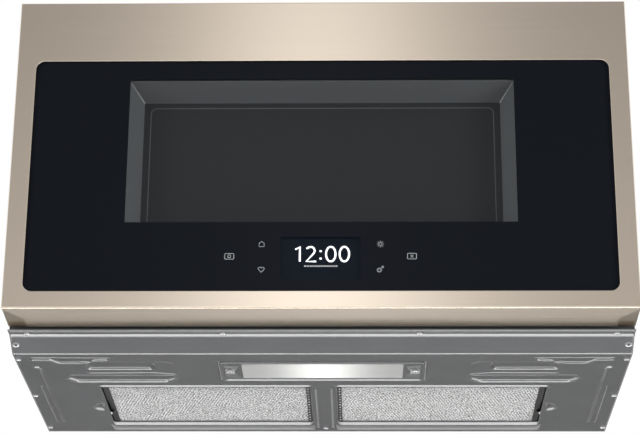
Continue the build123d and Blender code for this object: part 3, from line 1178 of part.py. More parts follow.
# ---------------------------------------------------------------- ventilation
def vent_grille():
    """Angled plastic grille at the top front corner, with a rib every pitch."""
    x = GRILLE_W / 2
    y0 = FACE_Y
    y1 = FACE_Y + GRILLE_D
    z0 = CAB_H - GRILLE_H
    z1 = CAB_H
    deep = GRILLE_DEEP
    bar = 0.75 * deep
    profile = [(y0, z0), (y0 + deep, z0), (y0 + deep, z1 - deep), (y1, z1 - deep), (y1, z1), (y0, z1)]
    rib = Plane.YZ * make_face(Polyline(*profile, close=True))
    count = int(GRILLE_W // GRILLE_PITCH)
    ribs = [Pos(-x + i * (GRILLE_W - GRILLE_BAR) / count, 0, 0) * extrude(rib, GRILLE_BAR)
            for i in range(count + 1)]
    rails = [block(-x, x, y0, y0 + deep, z0, z0 + bar), block(-x, x, y1 - bar, y1, z1 - deep, z1),
             block(-x, x, y0, y0 + deep, z1 - deep, z1),
             block(-x, x, y0 + 1.5, y0 + deep, z0 + 14.0, z0 + 16.0)]
    grille = rails[0] + rails[1:] + ribs
    foot_x = x - GRILLE_FOOT_IN
    feet = [block(s * foot_x - GRILLE_FOOT_W / 2, s * foot_x + GRILLE_FOOT_W / 2, PLATE_BACK_Y,
                  PLATE_BACK_Y + deep, z0 - GRILLE_FOOT_DROP, z0 + 2.0) for s in (-1, 1)]
    return grille + feet


def air_duct():
    """Sheet-metal duct on the cavity's roof, from the blower to the grille."""
    t = CAV_SHEET
    z0 = CAV_ROOF_Z
    duct = block(-DUCT_W / 2, DUCT_W / 2, DUCT_FRONT_Y, DUCT_BACK_Y, z0, z0 + DUCT_H)
    duct -= block(-DUCT_W / 2 + t, DUCT_W / 2 - t, DUCT_FRONT_Y, DUCT_BACK_Y, z0 + t, z0 + DUCT_H - t)
    return duct


def charcoal_filter():
    """Ribbed charcoal pad that stands in the duct's mouth."""
    t = CAV_SHEET + FIT
    x = DUCT_W / 2 - t
    z0 = CAV_ROOF_Z + CAV_SHEET
    z1 = CAV_ROOF_Z + DUCT_H - t
    y0 = DUCT_FRONT_Y + CHARCOAL_IN
    pad = block(-x, x, y0, y0 + CHARCOAL_T, z0, z1)
    starts = [-x + CHARCOAL_PITCH * i for i in range(1, int(2 * x // CHARCOAL_PITCH))]
    return pad - [block(start, start + CHARCOAL_GROOVE_W, y0, y0 + CHARCOAL_GROOVE_D,
                        z0 + CHARCOAL_BORDER, z1 - CHARCOAL_BORDER) for start in starts]


def blower_housing():
    """Right scroll: a drum with a forward outlet, open where air enters and leaves."""
    def scroll(inset):
        drum = Pos(BLOWER_Y, BLOWER_Z) * Circle(SCROLL_R - inset)
        mouth_z1 = BLOWER_Z + SCROLL_R
        mouth = Pos((DUCT_BACK_Y + BLOWER_Y) / 2, mouth_z1 - OUTLET_H / 2) * Rectangle(
            BLOWER_Y - DUCT_BACK_Y, OUTLET_H - 2 * inset)
        foot = Pos(BLOWER_Y, (CAV_ROOF_Z + BLOWER_Z) / 2) * Rectangle(SCROLL_FOOT_W, BLOWER_Z - CAV_ROOF_Z)
        return drum, mouth, foot

    drum, mouth, foot = scroll(0)
    outer = extrude(Plane.YZ * (drum + mouth + foot), HOUSING_X1 - HOUSING_X0)
    drum, mouth, _ = scroll(BLOWER_WALL)
    inner = extrude(Plane.YZ * (drum + mouth), HOUSING_X1 - HOUSING_X0 - 2 * BLOWER_WALL)
    housing = Pos(HOUSING_X0, 0, 0) * outer - Pos(HOUSING_X0 + BLOWER_WALL, 0, 0) * inner
    inlet = rod(BLOWER_R - INLET_IN, HOUSING_X1 - HOUSING_X0, (HOUSING_X0, BLOWER_Y, BLOWER_Z), "X")
    return housing - inlet


def blower_motor():
    """Double-shaft motor between the two scrolls, on a saddle."""
    x = BLOWER_MOTOR_W / 2
    can = rod(BLOWER_MOTOR_R, 2 * x, (-x, BLOWER_Y, BLOWER_Z), "X")
    y0 = BLOWER_Y - SADDLE_HALF
    y1 = BLOWER_Y + SADDLE_HALF
    saddle = block(-x, x, y0, y1, CAV_ROOF_Z, BLOWER_Z)
    saddle -= block(-x + SADDLE_LEG, x - SADDLE_LEG, y0, y1, CAV_ROOF_Z, BLOWER_Z - BLOWER_MOTOR_R - 2.0)
    return can + saddle - rod(BLOWER_SHAFT_R + RUN, 2 * x, (-x, BLOWER_Y, BLOWER_Z), "X")


def blower_wheel():
    """Right squirrel-cage wheel: hub disc, a ring of blades and two rims."""
    x0 = BLOWER_WHEEL_X
    blades = Sketch() + [Rot(0, 0, 360 * i / BLADES) * Pos(BLOWER_R - 6.0, 0) * Rot(0, 0, 35)
                         * Rectangle(9.0, 0.8) for i in range(BLADES)]
    cage = Pos(x0, BLOWER_Y, BLOWER_Z) * Rot(0, 90, 0) * extrude(blades, BLOWER_W)
    rims = [tube(BLOWER_R, BLOWER_R - 11.0, 1.5, (x, BLOWER_Y, BLOWER_Z), "X")
            for x in (x0, x0 + BLOWER_W - 1.5)]
    disc = rod(BLOWER_R - 9.0, 2.0, (x0 + BLOWER_W / 2, BLOWER_Y, BLOWER_Z), "X")
    ring = tube(BLOWER_R, BLOWER_R - 11.0, 2.0, (x0 + BLOWER_W / 2, BLOWER_Y, BLOWER_Z), "X")
    hub = rod(9.0, 16.0, (x0 + BLOWER_W / 2 - 7.0, BLOWER_Y, BLOWER_Z), "X")
    wheel = cage + rims + [disc, ring, hub]
    return wheel - rod(BLOWER_SHAFT_R, 2 * BLOWER_W, (x0 - BLOWER_W / 2, BLOWER_Y, BLOWER_Z), "X")


def blower_shaft():
    x = BLOWER_WHEEL_X + BLOWER_W / 2 + 12.0
    return rod(BLOWER_SHAFT_R, 2 * x, (-x, BLOWER_Y, BLOWER_Z), "X")


def exhaust_cover():
    """Plate screwed over the duct opening while the oven blows into the room."""
    w = EXHAUST_W + 2 * EXHAUST_LAP
    d = EXHAUST_D + 2 * EXHAUST_LAP_Y
    plate = flat_slab(w, d, 0, EXHAUST_Y, CAB_H, CAB_H + SHEET, 4.0)
    return plate - [rod(SHANK_R, SHEET, (x, y, CAB_H)) for x, y in EXHAUST_SCREWS]


# ---------------------------------------------------------------- lamps over the cooktop
def lamp_housing():
    """Pressed box above the base pan that holds the lamps; its flange backs the cover."""
    t = CAV_SHEET
    flange = flat_slab(LAMP_COVER_W + 2 * LAMP_FLANGE, LAMP_COVER_D + 2 * LAMP_FLANGE_Y, 0, LAMP_Y,
                       SHEET, SHEET + t, LAMP_CORNER)
    box = flat_slab(LAMP_BOX_W, LAMP_BOX_D, 0, LAMP_Y, SHEET, SHEET + LAMP_BOX_H, 6.0)
    inner = flat_slab(LAMP_BOX_W - 2 * t, LAMP_BOX_D - 2 * t, 0, LAMP_Y, SHEET, SHEET + LAMP_BOX_H - t, 5.0)
    housing = flange + box - inner
    return housing - [rod(SHANK_R, 3 * SHEET, (s * LAMP_SCREW_X, LAMP_Y, 0)) for s in (-1, 1)]


def lamp_cover():
    """Bezel in the base pan's opening that clamps the lens."""
    cover = flat_slab(LAMP_COVER_W, LAMP_COVER_D, 0, LAMP_Y, 0, SHEET, LAMP_CORNER)
    cover -= flat_slab(LENS_W, LENS_D, 0, LAMP_Y, 0, SHEET, 3.0)
    return cover - [rod(SHANK_R, SHEET, (s * LAMP_SCREW_X, LAMP_Y, 0)) for s in (-1, 1)]


def lamp_lens():
    pad = flat_slab(LENS_W - 2 * FIT, LENS_D - 2 * FIT, 0, LAMP_Y, 0.2, SHEET, 3.0)
    plate = flat_slab(LENS_W + 2 * LENS_LAP, LENS_D + LENS_LAP, 0, LAMP_Y, SHEET, SHEET + LENS_T, 4.0)
    return pad + plate


def cooktop_lamp():
    """Right lamp: a small bulb that lies along X."""
    z = SHEET + LAMP_BOX_H * 0.55
    x1 = LAMP_BOX_W / 2 - CAV_SHEET - SOCKET_L
    bulb = rod(LAMP_R, LAMP_L, (x1 - LAMP_L, LAMP_Y, z), "X")
    bulb = fillet(bulb.edges().filter_by(GeomType.CIRCLE).sort_by(Axis.X)[0], LAMP_R - 1.0)
    return bulb + rod(LAMP_CAP_R, SOCKET_L - 4.0, (x1, LAMP_Y, z), "X")


def lamp_socket():
    z = SHEET + LAMP_BOX_H * 0.55
    x1 = LAMP_BOX_W / 2 - CAV_SHEET
    body = rod(SOCKET_R, SOCKET_L, (x1 - SOCKET_L, LAMP_Y, z), "X")
    return body - rod(LAMP_CAP_R, SOCKET_L - 4.0, (x1 - SOCKET_L, LAMP_Y, z), "X")


# ---------------------------------------------------------------- grease filters
def filter_limits():
    """Limits of the right filter: inner side, outer side, front and back."""
    x0 = FILTER_IN_X - FILTER_HIDE
    x1 = FILTER_OUT_X - FILTER_TRAVEL - 0.5
    return x0, x1, FILTER_FRONT_Y - FILTER_LAP, FILTER_BACK_Y + FILTER_LAP


def filter_frame():
    """Right filter's folded aluminium edge."""
    x0, x1, y0, y1 = filter_limits()
    frame = block(x0, x1, y0, y1, FILTER_Z0, FILTER_Z0 + FILTER_T)
    lip = FILTER_EDGE + FILTER_LAP
    frame -= block(x0 + lip, x1 - lip + 1.5, y0 + lip, y1 - lip, FILTER_Z0, FILTER_Z0 + FILTER_T)
    return frame - filter_mesh()


def filter_mesh():
    """Right filter's pad of layered mesh."""
    x0, x1, y0, y1 = filter_limits()
    return block(x0 + MESH_IN, x1 - MESH_IN, y0 + MESH_IN, y1 - MESH_IN,
                 FILTER_Z0 + MESH_IN, FILTER_Z0 + FILTER_T - MESH_IN)


def filter_tab():
    """Wire pull on the filter's outer edge."""
    x0, x1, y0, y1 = filter_limits()
    mid = (y0 + y1) / 2
    return block(x1 - TAB_D, x1 + FIT, mid - TAB_W / 2, mid + TAB_W / 2, FILTER_Z0 - TAB_T, FILTER_Z0)


def filter_rails():
    """Right pair of rails that keep the filter down on the pan."""
    x0, x1, y0, y1 = filter_limits()
    top = FILTER_Z0 + FILTER_T + FILTER_PLAY
    rails = []
    for side, edge in ((-1, y0), (1, y1)):
        wall = edge + side * FIT
        outer = wall + side * SHEET
        tip = edge - side * RAIL_LAP
        foot = outer + side * RAIL_FOOT
        start = x0 + RAIL_SHORT
        upright = block(start, FILTER_OUT_X, min(wall, outer), max(wall, outer), SHEET, top + SHEET)
        cap = block(start, FILTER_OUT_X, min(tip, outer), max(tip, outer), top, top + SHEET)
        base = block(start, FILTER_OUT_X, min(outer, foot), max(outer, foot), SHEET, 2 * SHEET)
        rails.append(upright + cap + base)
    return rails


# ---------------------------------------------------------------- component bay
def component_shelf():
    """Steel floor under the power components, fixed to the cavity and the side panel."""
    x0 = CAV_RIGHT_X
    x1 = CAB_X - SHEET
    y0 = PLATE_BACK_Y + SHELF_IN
    floor = block(x0, x1, y0, -2 * SHEET, SHELF_Z, SHELF_TOP_Z)
    inner = block(x0, x0 + SHEET, y0, CAV_BACK_Y, SHELF_Z, SHELF_Z + SHELF_FLANGE)
    outer = block(x1 - SHEET, x1, y0 + SHELF_STEP, -2 * SHEET, SHELF_Z, SHELF_Z + SHELF_FLANGE / 2)
    return floor + inner + outer


def waveguide():
    x0 = CAV_RIGHT_X
    t = GUIDE_T
    y0 = GUIDE_Y - GUIDE_D / 2
    z0 = GUIDE_Z - GUIDE_H / 2
    y1 = y0 + GUIDE_D
    z1 = z0 + GUIDE_H
    guide = block(x0, x0 + GUIDE_W, y0, y1, z0, z1)
    guide -= block(x0, x0 + GUIDE_W - t, y0 + t, y1 - t, z0 + t, z1 - t)
    return guide - rod(ANTENNA_R + 1.5, 3 * t, (x0 + GUIDE_W - 2 * t, GUIDE_Y, GUIDE_Z), "X")


def magnetron():
    """Magnetron: yoke, cooling fins around the anode, antenna and filter box."""
    t = MAG_YOKE_T
    x0 = GUIDE_END_X
    x1 = x0 + MAG_YOKE_W
    y0 = GUIDE_Y - MAG_D / 2
    y1 = GUIDE_Y + MAG_D / 2
    z0 = GUIDE_Z - MAG_H / 2
    z1 = GUIDE_Z + MAG_H / 2
    yoke = block(x0, x1, y0, y1, z0, z1) - block(x0 + t, x1 - t, y0, y1, z0 + t, z1 - t)
    anode = rod(MAG_ANODE_R, MAG_YOKE_W, (x0, GUIDE_Y, GUIDE_Z), "X")
    gap = (MAG_YOKE_W - 2 * t) / (MAG_FINS + 1)
    fins = []
    for i in range(MAG_FINS):
        x = x0 + t + gap * (i + 1) - MAG_FIN_T / 2
        fins.append(block(x, x + MAG_FIN_T, y0 + t, y1 - t, z0 + t / 2, z1 - t / 2))
    antenna = rod(ANTENNA_R, ANTENNA_L, (x0 - ANTENNA_L, GUIDE_Y, GUIDE_Z), "X")
    filter_box = block(x1, x0 + MAG_W, GUIDE_Y - MAG_BOX_D / 2, GUIDE_Y + MAG_BOX_D / 2,
                       GUIDE_Z - MAG_BOX_H / 2, GUIDE_Z + MAG_BOX_H / 2)
    return yoke + anode + fins + [antenna, filter_box]


def transformer_core():
    """Laminated core with two windows, on a steel foot."""
    z0 = SHELF_TOP_Z
    half = TRAFO_W / 2
    y0 = TRAFO_Y - TRAFO_D / 2
    y1 = TRAFO_Y + TRAFO_D / 2
    core = block(TRAFO_X - half, TRAFO_X + half, y0, y1, z0 + TRAFO_FOOT_T, z0 + TRAFO_H)
    foot_half = half + TRAFO_FOOT_LAP
    foot = block(TRAFO_X - foot_half, TRAFO_X + foot_half, y0, y1, z0, z0 + TRAFO_FOOT_T)
    windows = [block(x - TRAFO_WINDOW_W / 2, x + TRAFO_WINDOW_W / 2, y0, y1, COIL_Z0, COIL_Z0 + 2 * COIL_H)
               for x in (TRAFO_X - TRAFO_WINDOW_X, TRAFO_X + TRAFO_WINDOW_X)]
    return core + foot - windows


def transformer_coils():
    """Primary and secondary coils, one above the other around the core's middle leg."""
    leg_half = TRAFO_WINDOW_X - TRAFO_WINDOW_W / 2
    coils = []
    for i in range(2):
        low = COIL_Z0 + i * COIL_H + COIL_APART
        outline = RectangleRounded(COIL_W, TRAFO_D + 2 * COIL_OUT, COIL_CORNER)
        coil = Pos(0, 0, low) * extrude(Pos(TRAFO_X, TRAFO_Y) * outline, COIL_H - 2 * COIL_APART)
        leg = block(TRAFO_X - leg_half, TRAFO_X + leg_half, TRAFO_Y - TRAFO_D / 2, TRAFO_Y + TRAFO_D / 2,
                    low, low + COIL_H)
        coils.append(coil - leg)
    return coils


def hv_capacitor():
    """Oval oil-filled can with two terminals, held by a strap."""
    top = SHELF_TOP_Z + CAN_H
    can = Pos(CAN_X, CAN_Y, SHELF_TOP_Z) * extrude(SlotOverall(CAN_W, CAN_D), CAN_H)
    pins = [block(x - CAN_PIN_W / 2, x + CAN_PIN_W / 2, CAN_Y - CAN_PIN_T / 2, CAN_Y + CAN_PIN_T / 2,
                  top, top + CAN_PIN_H) for x in (CAN_X - CAN_PIN_X, CAN_X + CAN_PIN_X)]
    loop = SlotOverall(CAN_W + 2 * CAN_STRAP_T, CAN_D + 2 * CAN_STRAP_T)
    strap = Pos(CAN_X, CAN_Y, SHELF_TOP_Z + CAN_STRAP_Z) * extrude(loop, CAN_STRAP_H)
    return can + strap + pins


def hv_diode():
    """Diode beside the capacitor, on its two leads."""
    x = CAN_X + DIODE_X
    z = SHELF_TOP_Z + DIODE_Z
    y0 = CAN_Y - CAN_STRAP_H + DIODE_LEG_IN
    body = rod(DIODE_R, DIODE_L, (x, y0, z), "Y")
    legs = [block(x - DIODE_LEG_W / 2, x + DIODE_LEG_W / 2, y - DIODE_LEG_T / 2, y + DIODE_LEG_T / 2,
                  SHELF_TOP_Z, z) for y in (y0 + DIODE_LEG_IN, y0 + DIODE_L - DIODE_LEG_IN)]
    return body + legs


def fan_shroud():
    """Plate across the component bay, with the cooling fan's ring and motor spider."""
    x0 = CAV_RIGHT_X + SHEET
    x1 = CAB_X - 2 * SHEET
    bore = FAN_R + FAN_ROOM
    plate = block(x0, x1, FAN_Y, FAN_Y + SHROUD_T, SHELF_TOP_Z, 2 * FAN_Z - SHELF_TOP_Z)
    plate -= rod(bore, SHROUD_T, (FAN_X, FAN_Y, FAN_Z), "Y")
    ring = tube(bore + SHROUD_T, bore, SHROUD_RING_D, (FAN_X, FAN_Y, FAN_Z), "Y")
    y0 = FAN_Y + SPIDER_BACK
    arm_x = FAN_R + SPIDER_LAP
    arms = [block(FAN_X - arm_x, FAN_X + arm_x, y0, y0 + SPIDER_T, z - SPIDER_H / 2, z + SPIDER_H / 2)
            for z in (FAN_Z - SPIDER_Z, FAN_Z + SPIDER_Z)]
    return plate + ring + arms


def fan_motor():
    """Shaded-pole motor on the spider behind the blade."""
    y0 = FAN_Y + SPIDER_BACK + SPIDER_T
    y1 = y0 + FAN_MOTOR_D
    coil_x = FAN_X + FAN_COIL_X
    stack = block(FAN_X - FAN_MOTOR_W / 2, FAN_X + FAN_MOTOR_W / 2, y0, y1,
                  FAN_Z - FAN_MOTOR_H / 2, FAN_Z + FAN_MOTOR_H / 2)
    coil = block(coil_x, coil_x + FAN_COIL_W, y0 + 1.0, y1 - 1.0,
                 FAN_Z - FAN_COIL_H / 2, FAN_Z + FAN_COIL_H / 2)
    cap = rod(FAN_CAP_R, FAN_CAP_L, (FAN_X, y0 - FAN_CAP_L, FAN_Z), "Y")
    bore = rod(FAN_SHAFT_R + RUN, FAN_CAP_L + FAN_MOTOR_D, (FAN_X, y0 - FAN_CAP_L, FAN_Z), "Y")
    return stack + coil + cap - bore


def fan_blade():
    """Five-bladed fan on its shaft."""
    y0 = FAN_Y + SHROUD_T
    fan = rod(FAN_SHAFT_R, FAN_SHAFT_L, (FAN_X, y0, FAN_Z), "Y") + rod(
        FAN_HUB_R, FAN_HUB_L, (FAN_X, y0, FAN_Z), "Y")
    for i in range(FAN_BLADES):
        blade = Pos(0, 0, FAN_BLADE_R) * Rot(0, 0, FAN_PITCH) * Box(FAN_BLADE_W, FAN_BLADE_T, FAN_BLADE_H)
        fan += Pos(FAN_X, FAN_Y + 9.0, FAN_Z) * Rot(0, 360 * i / FAN_BLADES, 0) * blade
    keep = rod(FAN_R, 60.0, (FAN_X, FAN_Y - 20.0, FAN_Z), "Y") & block(
        FAN_X - FAN_R, FAN_X + FAN_R, FAN_Y + 1.0, FAN_Y + 60.0, FAN_Z - FAN_R, FAN_Z + FAN_R)
    return fan & keep


def power_board():
    """Power and noise-filter board on the cavity's roof, beside the duct."""
    x0 = DUCT_W / 2 + POWER_APART
    y0 = PLATE_BACK_Y + POWER_BEHIND
    z0 = CAV_ROOF_Z + POWER_STAND
    z1 = z0 + BOARD_T
    board = block(x0, x0 + POWER_W, y0, y0 + POWER_D, z0, z1)
    feet = [rod(POWER_FOOT_R, POWER_STAND, (x, y, CAV_ROOF_Z), "Z")
            for x in (x0 + POWER_FOOT_X, CAV_RIGHT_X - POWER_FOOT_X)
            for y in (y0 + POWER_FOOT_Y, y0 + POWER_D - POWER_FOOT_Y)]
    # relays, transformers and coils: place on the board, width, depth and height
    parts = [(24.0, 30.0, 30.0, 26.0, 24.0), (64.0, 28.0, 22.0, 20.0, 16.0), (100.0, 32.0, 28.0, 24.0, 20.0),
             (30.0, 80.0, 36.0, 18.0, 14.0), (84.0, 78.0, 40.0, 30.0, 18.0)]
    for x, y, w, d, h in parts:
        board += block(x0 + x - w / 2, x0 + x + w / 2, y0 + y - d / 2, y0 + y + d / 2, z1, z1 + h)
    return board + feet


def thermal_cutout(x, y, z):
    """Thermostat with its two ears."""
    half = CUTOUT_EAR_W / 2
    ears = block(x - CUTOUT_EAR, x + CUTOUT_EAR, y - half, y + half, z, z + CUTOUT_EAR_T)
    return rod(CUTOUT_R, CUTOUT_H, (x, y, z), "Z") + ears


def thermal_cutouts():
    """Two thermostats: one on the cavity's roof, one on the magnetron's yoke."""
    return [thermal_cutout(CAV_X0 + CUTOUT_IN, TABLE_Y + CUTOUT_BEHIND, CAV_ROOF_Z),
            thermal_cutout(GUIDE_END_X + YOKE_CUTOUT_X, GUIDE_Y, GUIDE_Z + MAG_H / 2)]


def cord_bushing():
    """Snap-in bushing in the top panel for the supply cord."""
    z = CAB_H - SHEET
    sleeve_r = CORD_R + BUSH_WALL
    bottom = z - SLEEVE_IN
    top = CAB_H + COLLAR_T
    sleeve = rod(sleeve_r, top - bottom, (CORD_X, CORD_Y, bottom))
    collar = rod(sleeve_r + COLLAR_OUT, COLLAR_T, (CORD_X, CORD_Y, CAB_H))
    clip = rod(sleeve_r + CLIP_OUT, COLLAR_T, (CORD_X, CORD_Y, z - COLLAR_T))
    return sleeve + collar + clip - rod(CORD_R, top - bottom, (CORD_X, CORD_Y, bottom))


# ---------------------------------------------------------------- screws
def base_screws():
    places = [(s * x, y) for x, y in BASE_SCREWS for s in (-1, 1)] + [RIB_SCREW]
    return [screw(SCREW_R, SCREW_HEAD, SHANK_R, SHANK_L, (x, y, 0)) for x, y in places]


def lip_screws():
    return [screw(SCREW_R, SCREW_HEAD, SHANK_R, SHEET, (s * x, y, CHIN_RISE))
            for x, y in LIP_SCREWS for s in (-1, 1)]


def lamp_cover_screws():
    return [screw(SCREW_R, SCREW_HEAD, SHANK_R, 5.0, (s * LAMP_SCREW_X, LAMP_Y, 0)) for s in (-1, 1)]


def exhaust_screws():
    return [screw(SCREW_R, SCREW_HEAD, SHANK_R, 2.4 * SHEET, (x, y, CAB_H + SHEET), "-Z")
            for x, y in EXHAUST_SCREWS]


def door_screws():
    return [screw(DOOR_SCREW_R, DOOR_SCREW_HEAD, SHANK_R, DOOR_SCREW_L, (x, DOOR_BACK_Y, z), "-Y")
            for x, z in DOOR_SCREWS]


# ---------------------------------------------------------------- all sub-parts
os.makedirs("parts", exist_ok=True)


def twins(shape):
    """A door or hinge part and its twin at the other end of the door."""
    return [shape, upper_twin(shape)]


# cabinet
save("base_pan", base_pan() + [shape for rail in filter_rails() for shape in both_sides(rail)])
save("right_side_panel", side_panel())
save("left_side_panel", mirror(side_panel(), Plane.YZ))
save("top_panel", top_panel())
save("back_panel", back_panel())
save("front_plate", front_plate())
save("hinge_brackets", *twins(hinge_bracket()), *twins(hinge_pin()))
save("exhaust_cover", exhaust_cover())
save("cord_bushing", cord_bushing())
save("cabinet_screws", *base_screws(), *lip_screws(), *lamp_cover_screws(), *exhaust_screws())

# cavity and turntable
save("cavity_box", *cavity_box())
save("mica_cover", mica_cover())
save("cavity_lamp", cavity_lamp(), cavity_lamp_holder())
save("turntable_motor", turntable_motor())
save("drive_coupler", drive_coupler())
save("roller_ring", roller_ring())
for number in range(3):
    save(f"roller_wheel_{number + 1}", roller_wheel(number))
save("glass_tray", glass_tray())

# ventilation
save("vent_grille", vent_grille())
save("air_duct", air_duct())
save("charcoal_filter", charcoal_filter())
save("blower_housings", *both_sides(blower_housing()))
save("blower_motor", blower_motor())
save("blower_rotor", blower_shaft(), *both_sides(blower_wheel()))
filter_parts = [filter_frame(), filter_mesh(), filter_tab()]
save("grease_filter_right", *filter_parts)
save("grease_filter_left", *[mirror(shape, Plane.YZ) for shape in filter_parts])

# lamps over the cooktop
save("lamp_housing", lamp_housing())
save("lamp_cover", lamp_cover())
save("lamp_lens", lamp_lens())
save("cooktop_lamps", *both_sides(cooktop_lamp()), *both_sides(lamp_socket()))

# component bay
save("component_shelf", component_shelf())
save("waveguide", waveguide())
save("magnetron", magnetron())
save("hv_transformer", transformer_core(), *transformer_coils())
save("hv_capacitor", hv_capacitor(), hv_diode())
save("fan_shroud", fan_shroud(), fan_motor())
save("fan_blade", fan_blade())
save("power_board", power_board())
save("thermal_cutouts", *thermal_cutouts())
save("interlock_bracket", interlock_bracket())
save("microswitches", *[microswitch(x, z) for _, x, z in SWITCHES])
for name, x, z in SWITCHES:
    save(f"switch_button_{name}", switch_button(x, z))

# door
save("door_skin", door_skin())
save("door_subframe", door_subframe())
save("front_glass", front_glass())
save("door_frame", door_frame() + twins(hinge_arm()))
save("door_back_panel", door_back_panel() + [choke_ring(), spring_anchor()], *latch_guides())
save("choke_cover", choke_cover())
save("inner_glass", inner_glass())
save("window_bezel", window_bezel())
save("window_screen", window_screen())
save("display_unit", display_module(), display_carrier(), control_board())
save("hinge_bushings", *twins(hinge_bushing()))
save("latch_plate", latch_plate())
save("latch_spring", latch_spring())
save("door_screws", *door_screws())
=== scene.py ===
import math
import random

import bmesh
import bpy
from mathutils import Matrix, Vector
from mathutils.geometry import tessellate_polygon


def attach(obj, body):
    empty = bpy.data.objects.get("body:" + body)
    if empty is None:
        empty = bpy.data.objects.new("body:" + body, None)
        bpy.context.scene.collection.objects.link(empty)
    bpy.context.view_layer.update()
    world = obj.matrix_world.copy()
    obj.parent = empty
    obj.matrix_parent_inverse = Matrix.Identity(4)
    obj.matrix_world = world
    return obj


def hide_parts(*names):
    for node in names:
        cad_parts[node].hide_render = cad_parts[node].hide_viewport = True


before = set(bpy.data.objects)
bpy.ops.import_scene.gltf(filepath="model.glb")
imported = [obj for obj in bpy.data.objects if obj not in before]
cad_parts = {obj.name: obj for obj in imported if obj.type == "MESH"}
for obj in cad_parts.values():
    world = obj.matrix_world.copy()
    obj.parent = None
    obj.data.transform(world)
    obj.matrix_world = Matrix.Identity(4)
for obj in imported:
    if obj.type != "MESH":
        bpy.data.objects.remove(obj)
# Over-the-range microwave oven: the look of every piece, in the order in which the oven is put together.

scene = bpy.context.scene
scene.view_settings.view_transform = "Standard"
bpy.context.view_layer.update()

# ======== camera
# The camera stands low in front of the oven and looks up at the door and the underside. Its place, tilt and
# lens were fitted to the corners of the door front and the base in the photograph.
CAMERA_AT = Vector((0.0524, -2.7658, -0.8353))
CAMERA_PITCH = math.radians(22.611)
CAMERA_YAW = math.radians(-1.301)
CAMERA_ROLL = math.radians(-0.389)
CAMERA_LENS = 118.55
SENSOR_WIDTH = 36.0
CAMERA_REACH = (0.05, 60.0)  # nearest and farthest that it sees, in metres

ahead = Vector((math.sin(CAMERA_YAW) * math.cos(CAMERA_PITCH), math.cos(CAMERA_YAW) * math.cos(CAMERA_PITCH),
                math.sin(CAMERA_PITCH)))
level = Vector((math.cos(CAMERA_YAW), -math.sin(CAMERA_YAW), 0))
down = ahead.cross(level)
right = math.cos(CAMERA_ROLL) * level + math.sin(CAMERA_ROLL) * down
below = math.cos(CAMERA_ROLL) * down - math.sin(CAMERA_ROLL) * level
camera = bpy.data.objects.new("camera", bpy.data.cameras.new("camera"))
camera.data.lens = CAMERA_LENS
camera.data.sensor_width = SENSOR_WIDTH
camera.data.clip_start = CAMERA_REACH[0]
camera.data.clip_end = CAMERA_REACH[1]
camera.matrix_world = Matrix.Translation(CAMERA_AT) @ Matrix((right, -below, -ahead)).transposed().to_4x4()
scene.collection.objects.link(camera)
scene.camera = camera

# ======== room and light
# The oven hangs well above a pale floor in a white surround, lit by five soft lamps. Metal, paint and glass
# also reflect three cards: a tall one in front, and two low ones behind whose light picks out the folds.
FLOOR_Z = -1.37
FLOOR_HALF = 9.0
FLOOR_COLOUR = (0.64, 0.64, 0.64, 1)
FLOOR_LIFT = 0.35  # what the camera sees on top of the lit floor
SKY = 0.38  # light of the surround on the object; seen or reflected it is white


def node(tree, kind, inputs=None, **settings):
    """One shader node, with its settings and its inputs set or linked."""
    made = tree.nodes.new("ShaderNode" + kind)
    for name, value in settings.items():
        setattr(made, name, value)
    for name, value in (inputs or {}).items():
        if isinstance(value, bpy.types.NodeSocket):
            tree.links.new(value, made.inputs[name])
        else:
            made.inputs[name].default_value = value
    return made


def math_node(tree, operation, *values):
    """Result of a math node."""
    return node(tree, "Math", dict(enumerate(values)), operation=operation).outputs[0]


def empty_material(name):
    """A material without nodes, and its node tree."""
    material = bpy.data.materials.new(name)
    material.use_nodes = True
    material.node_tree.nodes.clear()
    return material, material.node_tree


def rectangle(name, corners, material):
    """One flat sheet of the room."""
    mesh = bpy.data.meshes.new(name)
    mesh.from_pydata(corners, [], [(0, 1, 2, 3)])
    mesh.materials.append(material)
    made = bpy.data.objects.new(name, mesh)
    scene.collection.objects.link(made)


def level_sheet(name, half_x, y0, y1, z, material):
    """A sheet of the room that lies flat."""
    rectangle(name, [(-half_x, y0, z), (half_x, y0, z), (half_x, y1, z), (-half_x, y1, z)], material)


world = bpy.data.worlds.new("surround")
scene.world = world
world.use_nodes = True
world.node_tree.nodes.clear()
rays = node(world.node_tree, "LightPath")
seen = math_node(world.node_tree, "MAXIMUM", rays.outputs["Is Camera Ray"], rays.outputs["Is Glossy Ray"])
seen = math_node(world.node_tree, "MAXIMUM", seen, rays.outputs["Is Transmission Ray"])
light = node(world.node_tree, "MapRange", {"Value": seen, "To Min": SKY, "To Max": 1.0})
sky = node(world.node_tree, "Background", {"Color": (1, 1, 1, 1), "Strength": light.outputs[0]})
node(world.node_tree, "OutputWorld", {"Surface": sky.outputs[0]})

floor_material, tree = empty_material("pale_floor")
paint = node(tree, "BsdfDiffuse", {"Color": FLOOR_COLOUR})
pale = node(tree, "Emission", {"Strength": math_node(
    tree, "MULTIPLY", node(tree, "LightPath").outputs["Is Camera Ray"], FLOOR_LIFT)})
paint = node(tree, "AddShader", {0: paint.outputs[0], 1: pale.outputs[0]})
under = node(tree, "BsdfTransparent")
side = node(tree, "NewGeometry").outputs["Backfacing"]
both = node(tree, "MixShader", {0: side, 1: paint.outputs[0], 2: under.outputs[0]})
node(tree, "OutputMaterial", {"Surface": both.outputs[0]})
level_sheet("floor", FLOOR_HALF, -FLOOR_HALF, FLOOR_HALF, FLOOR_Z, floor_material)

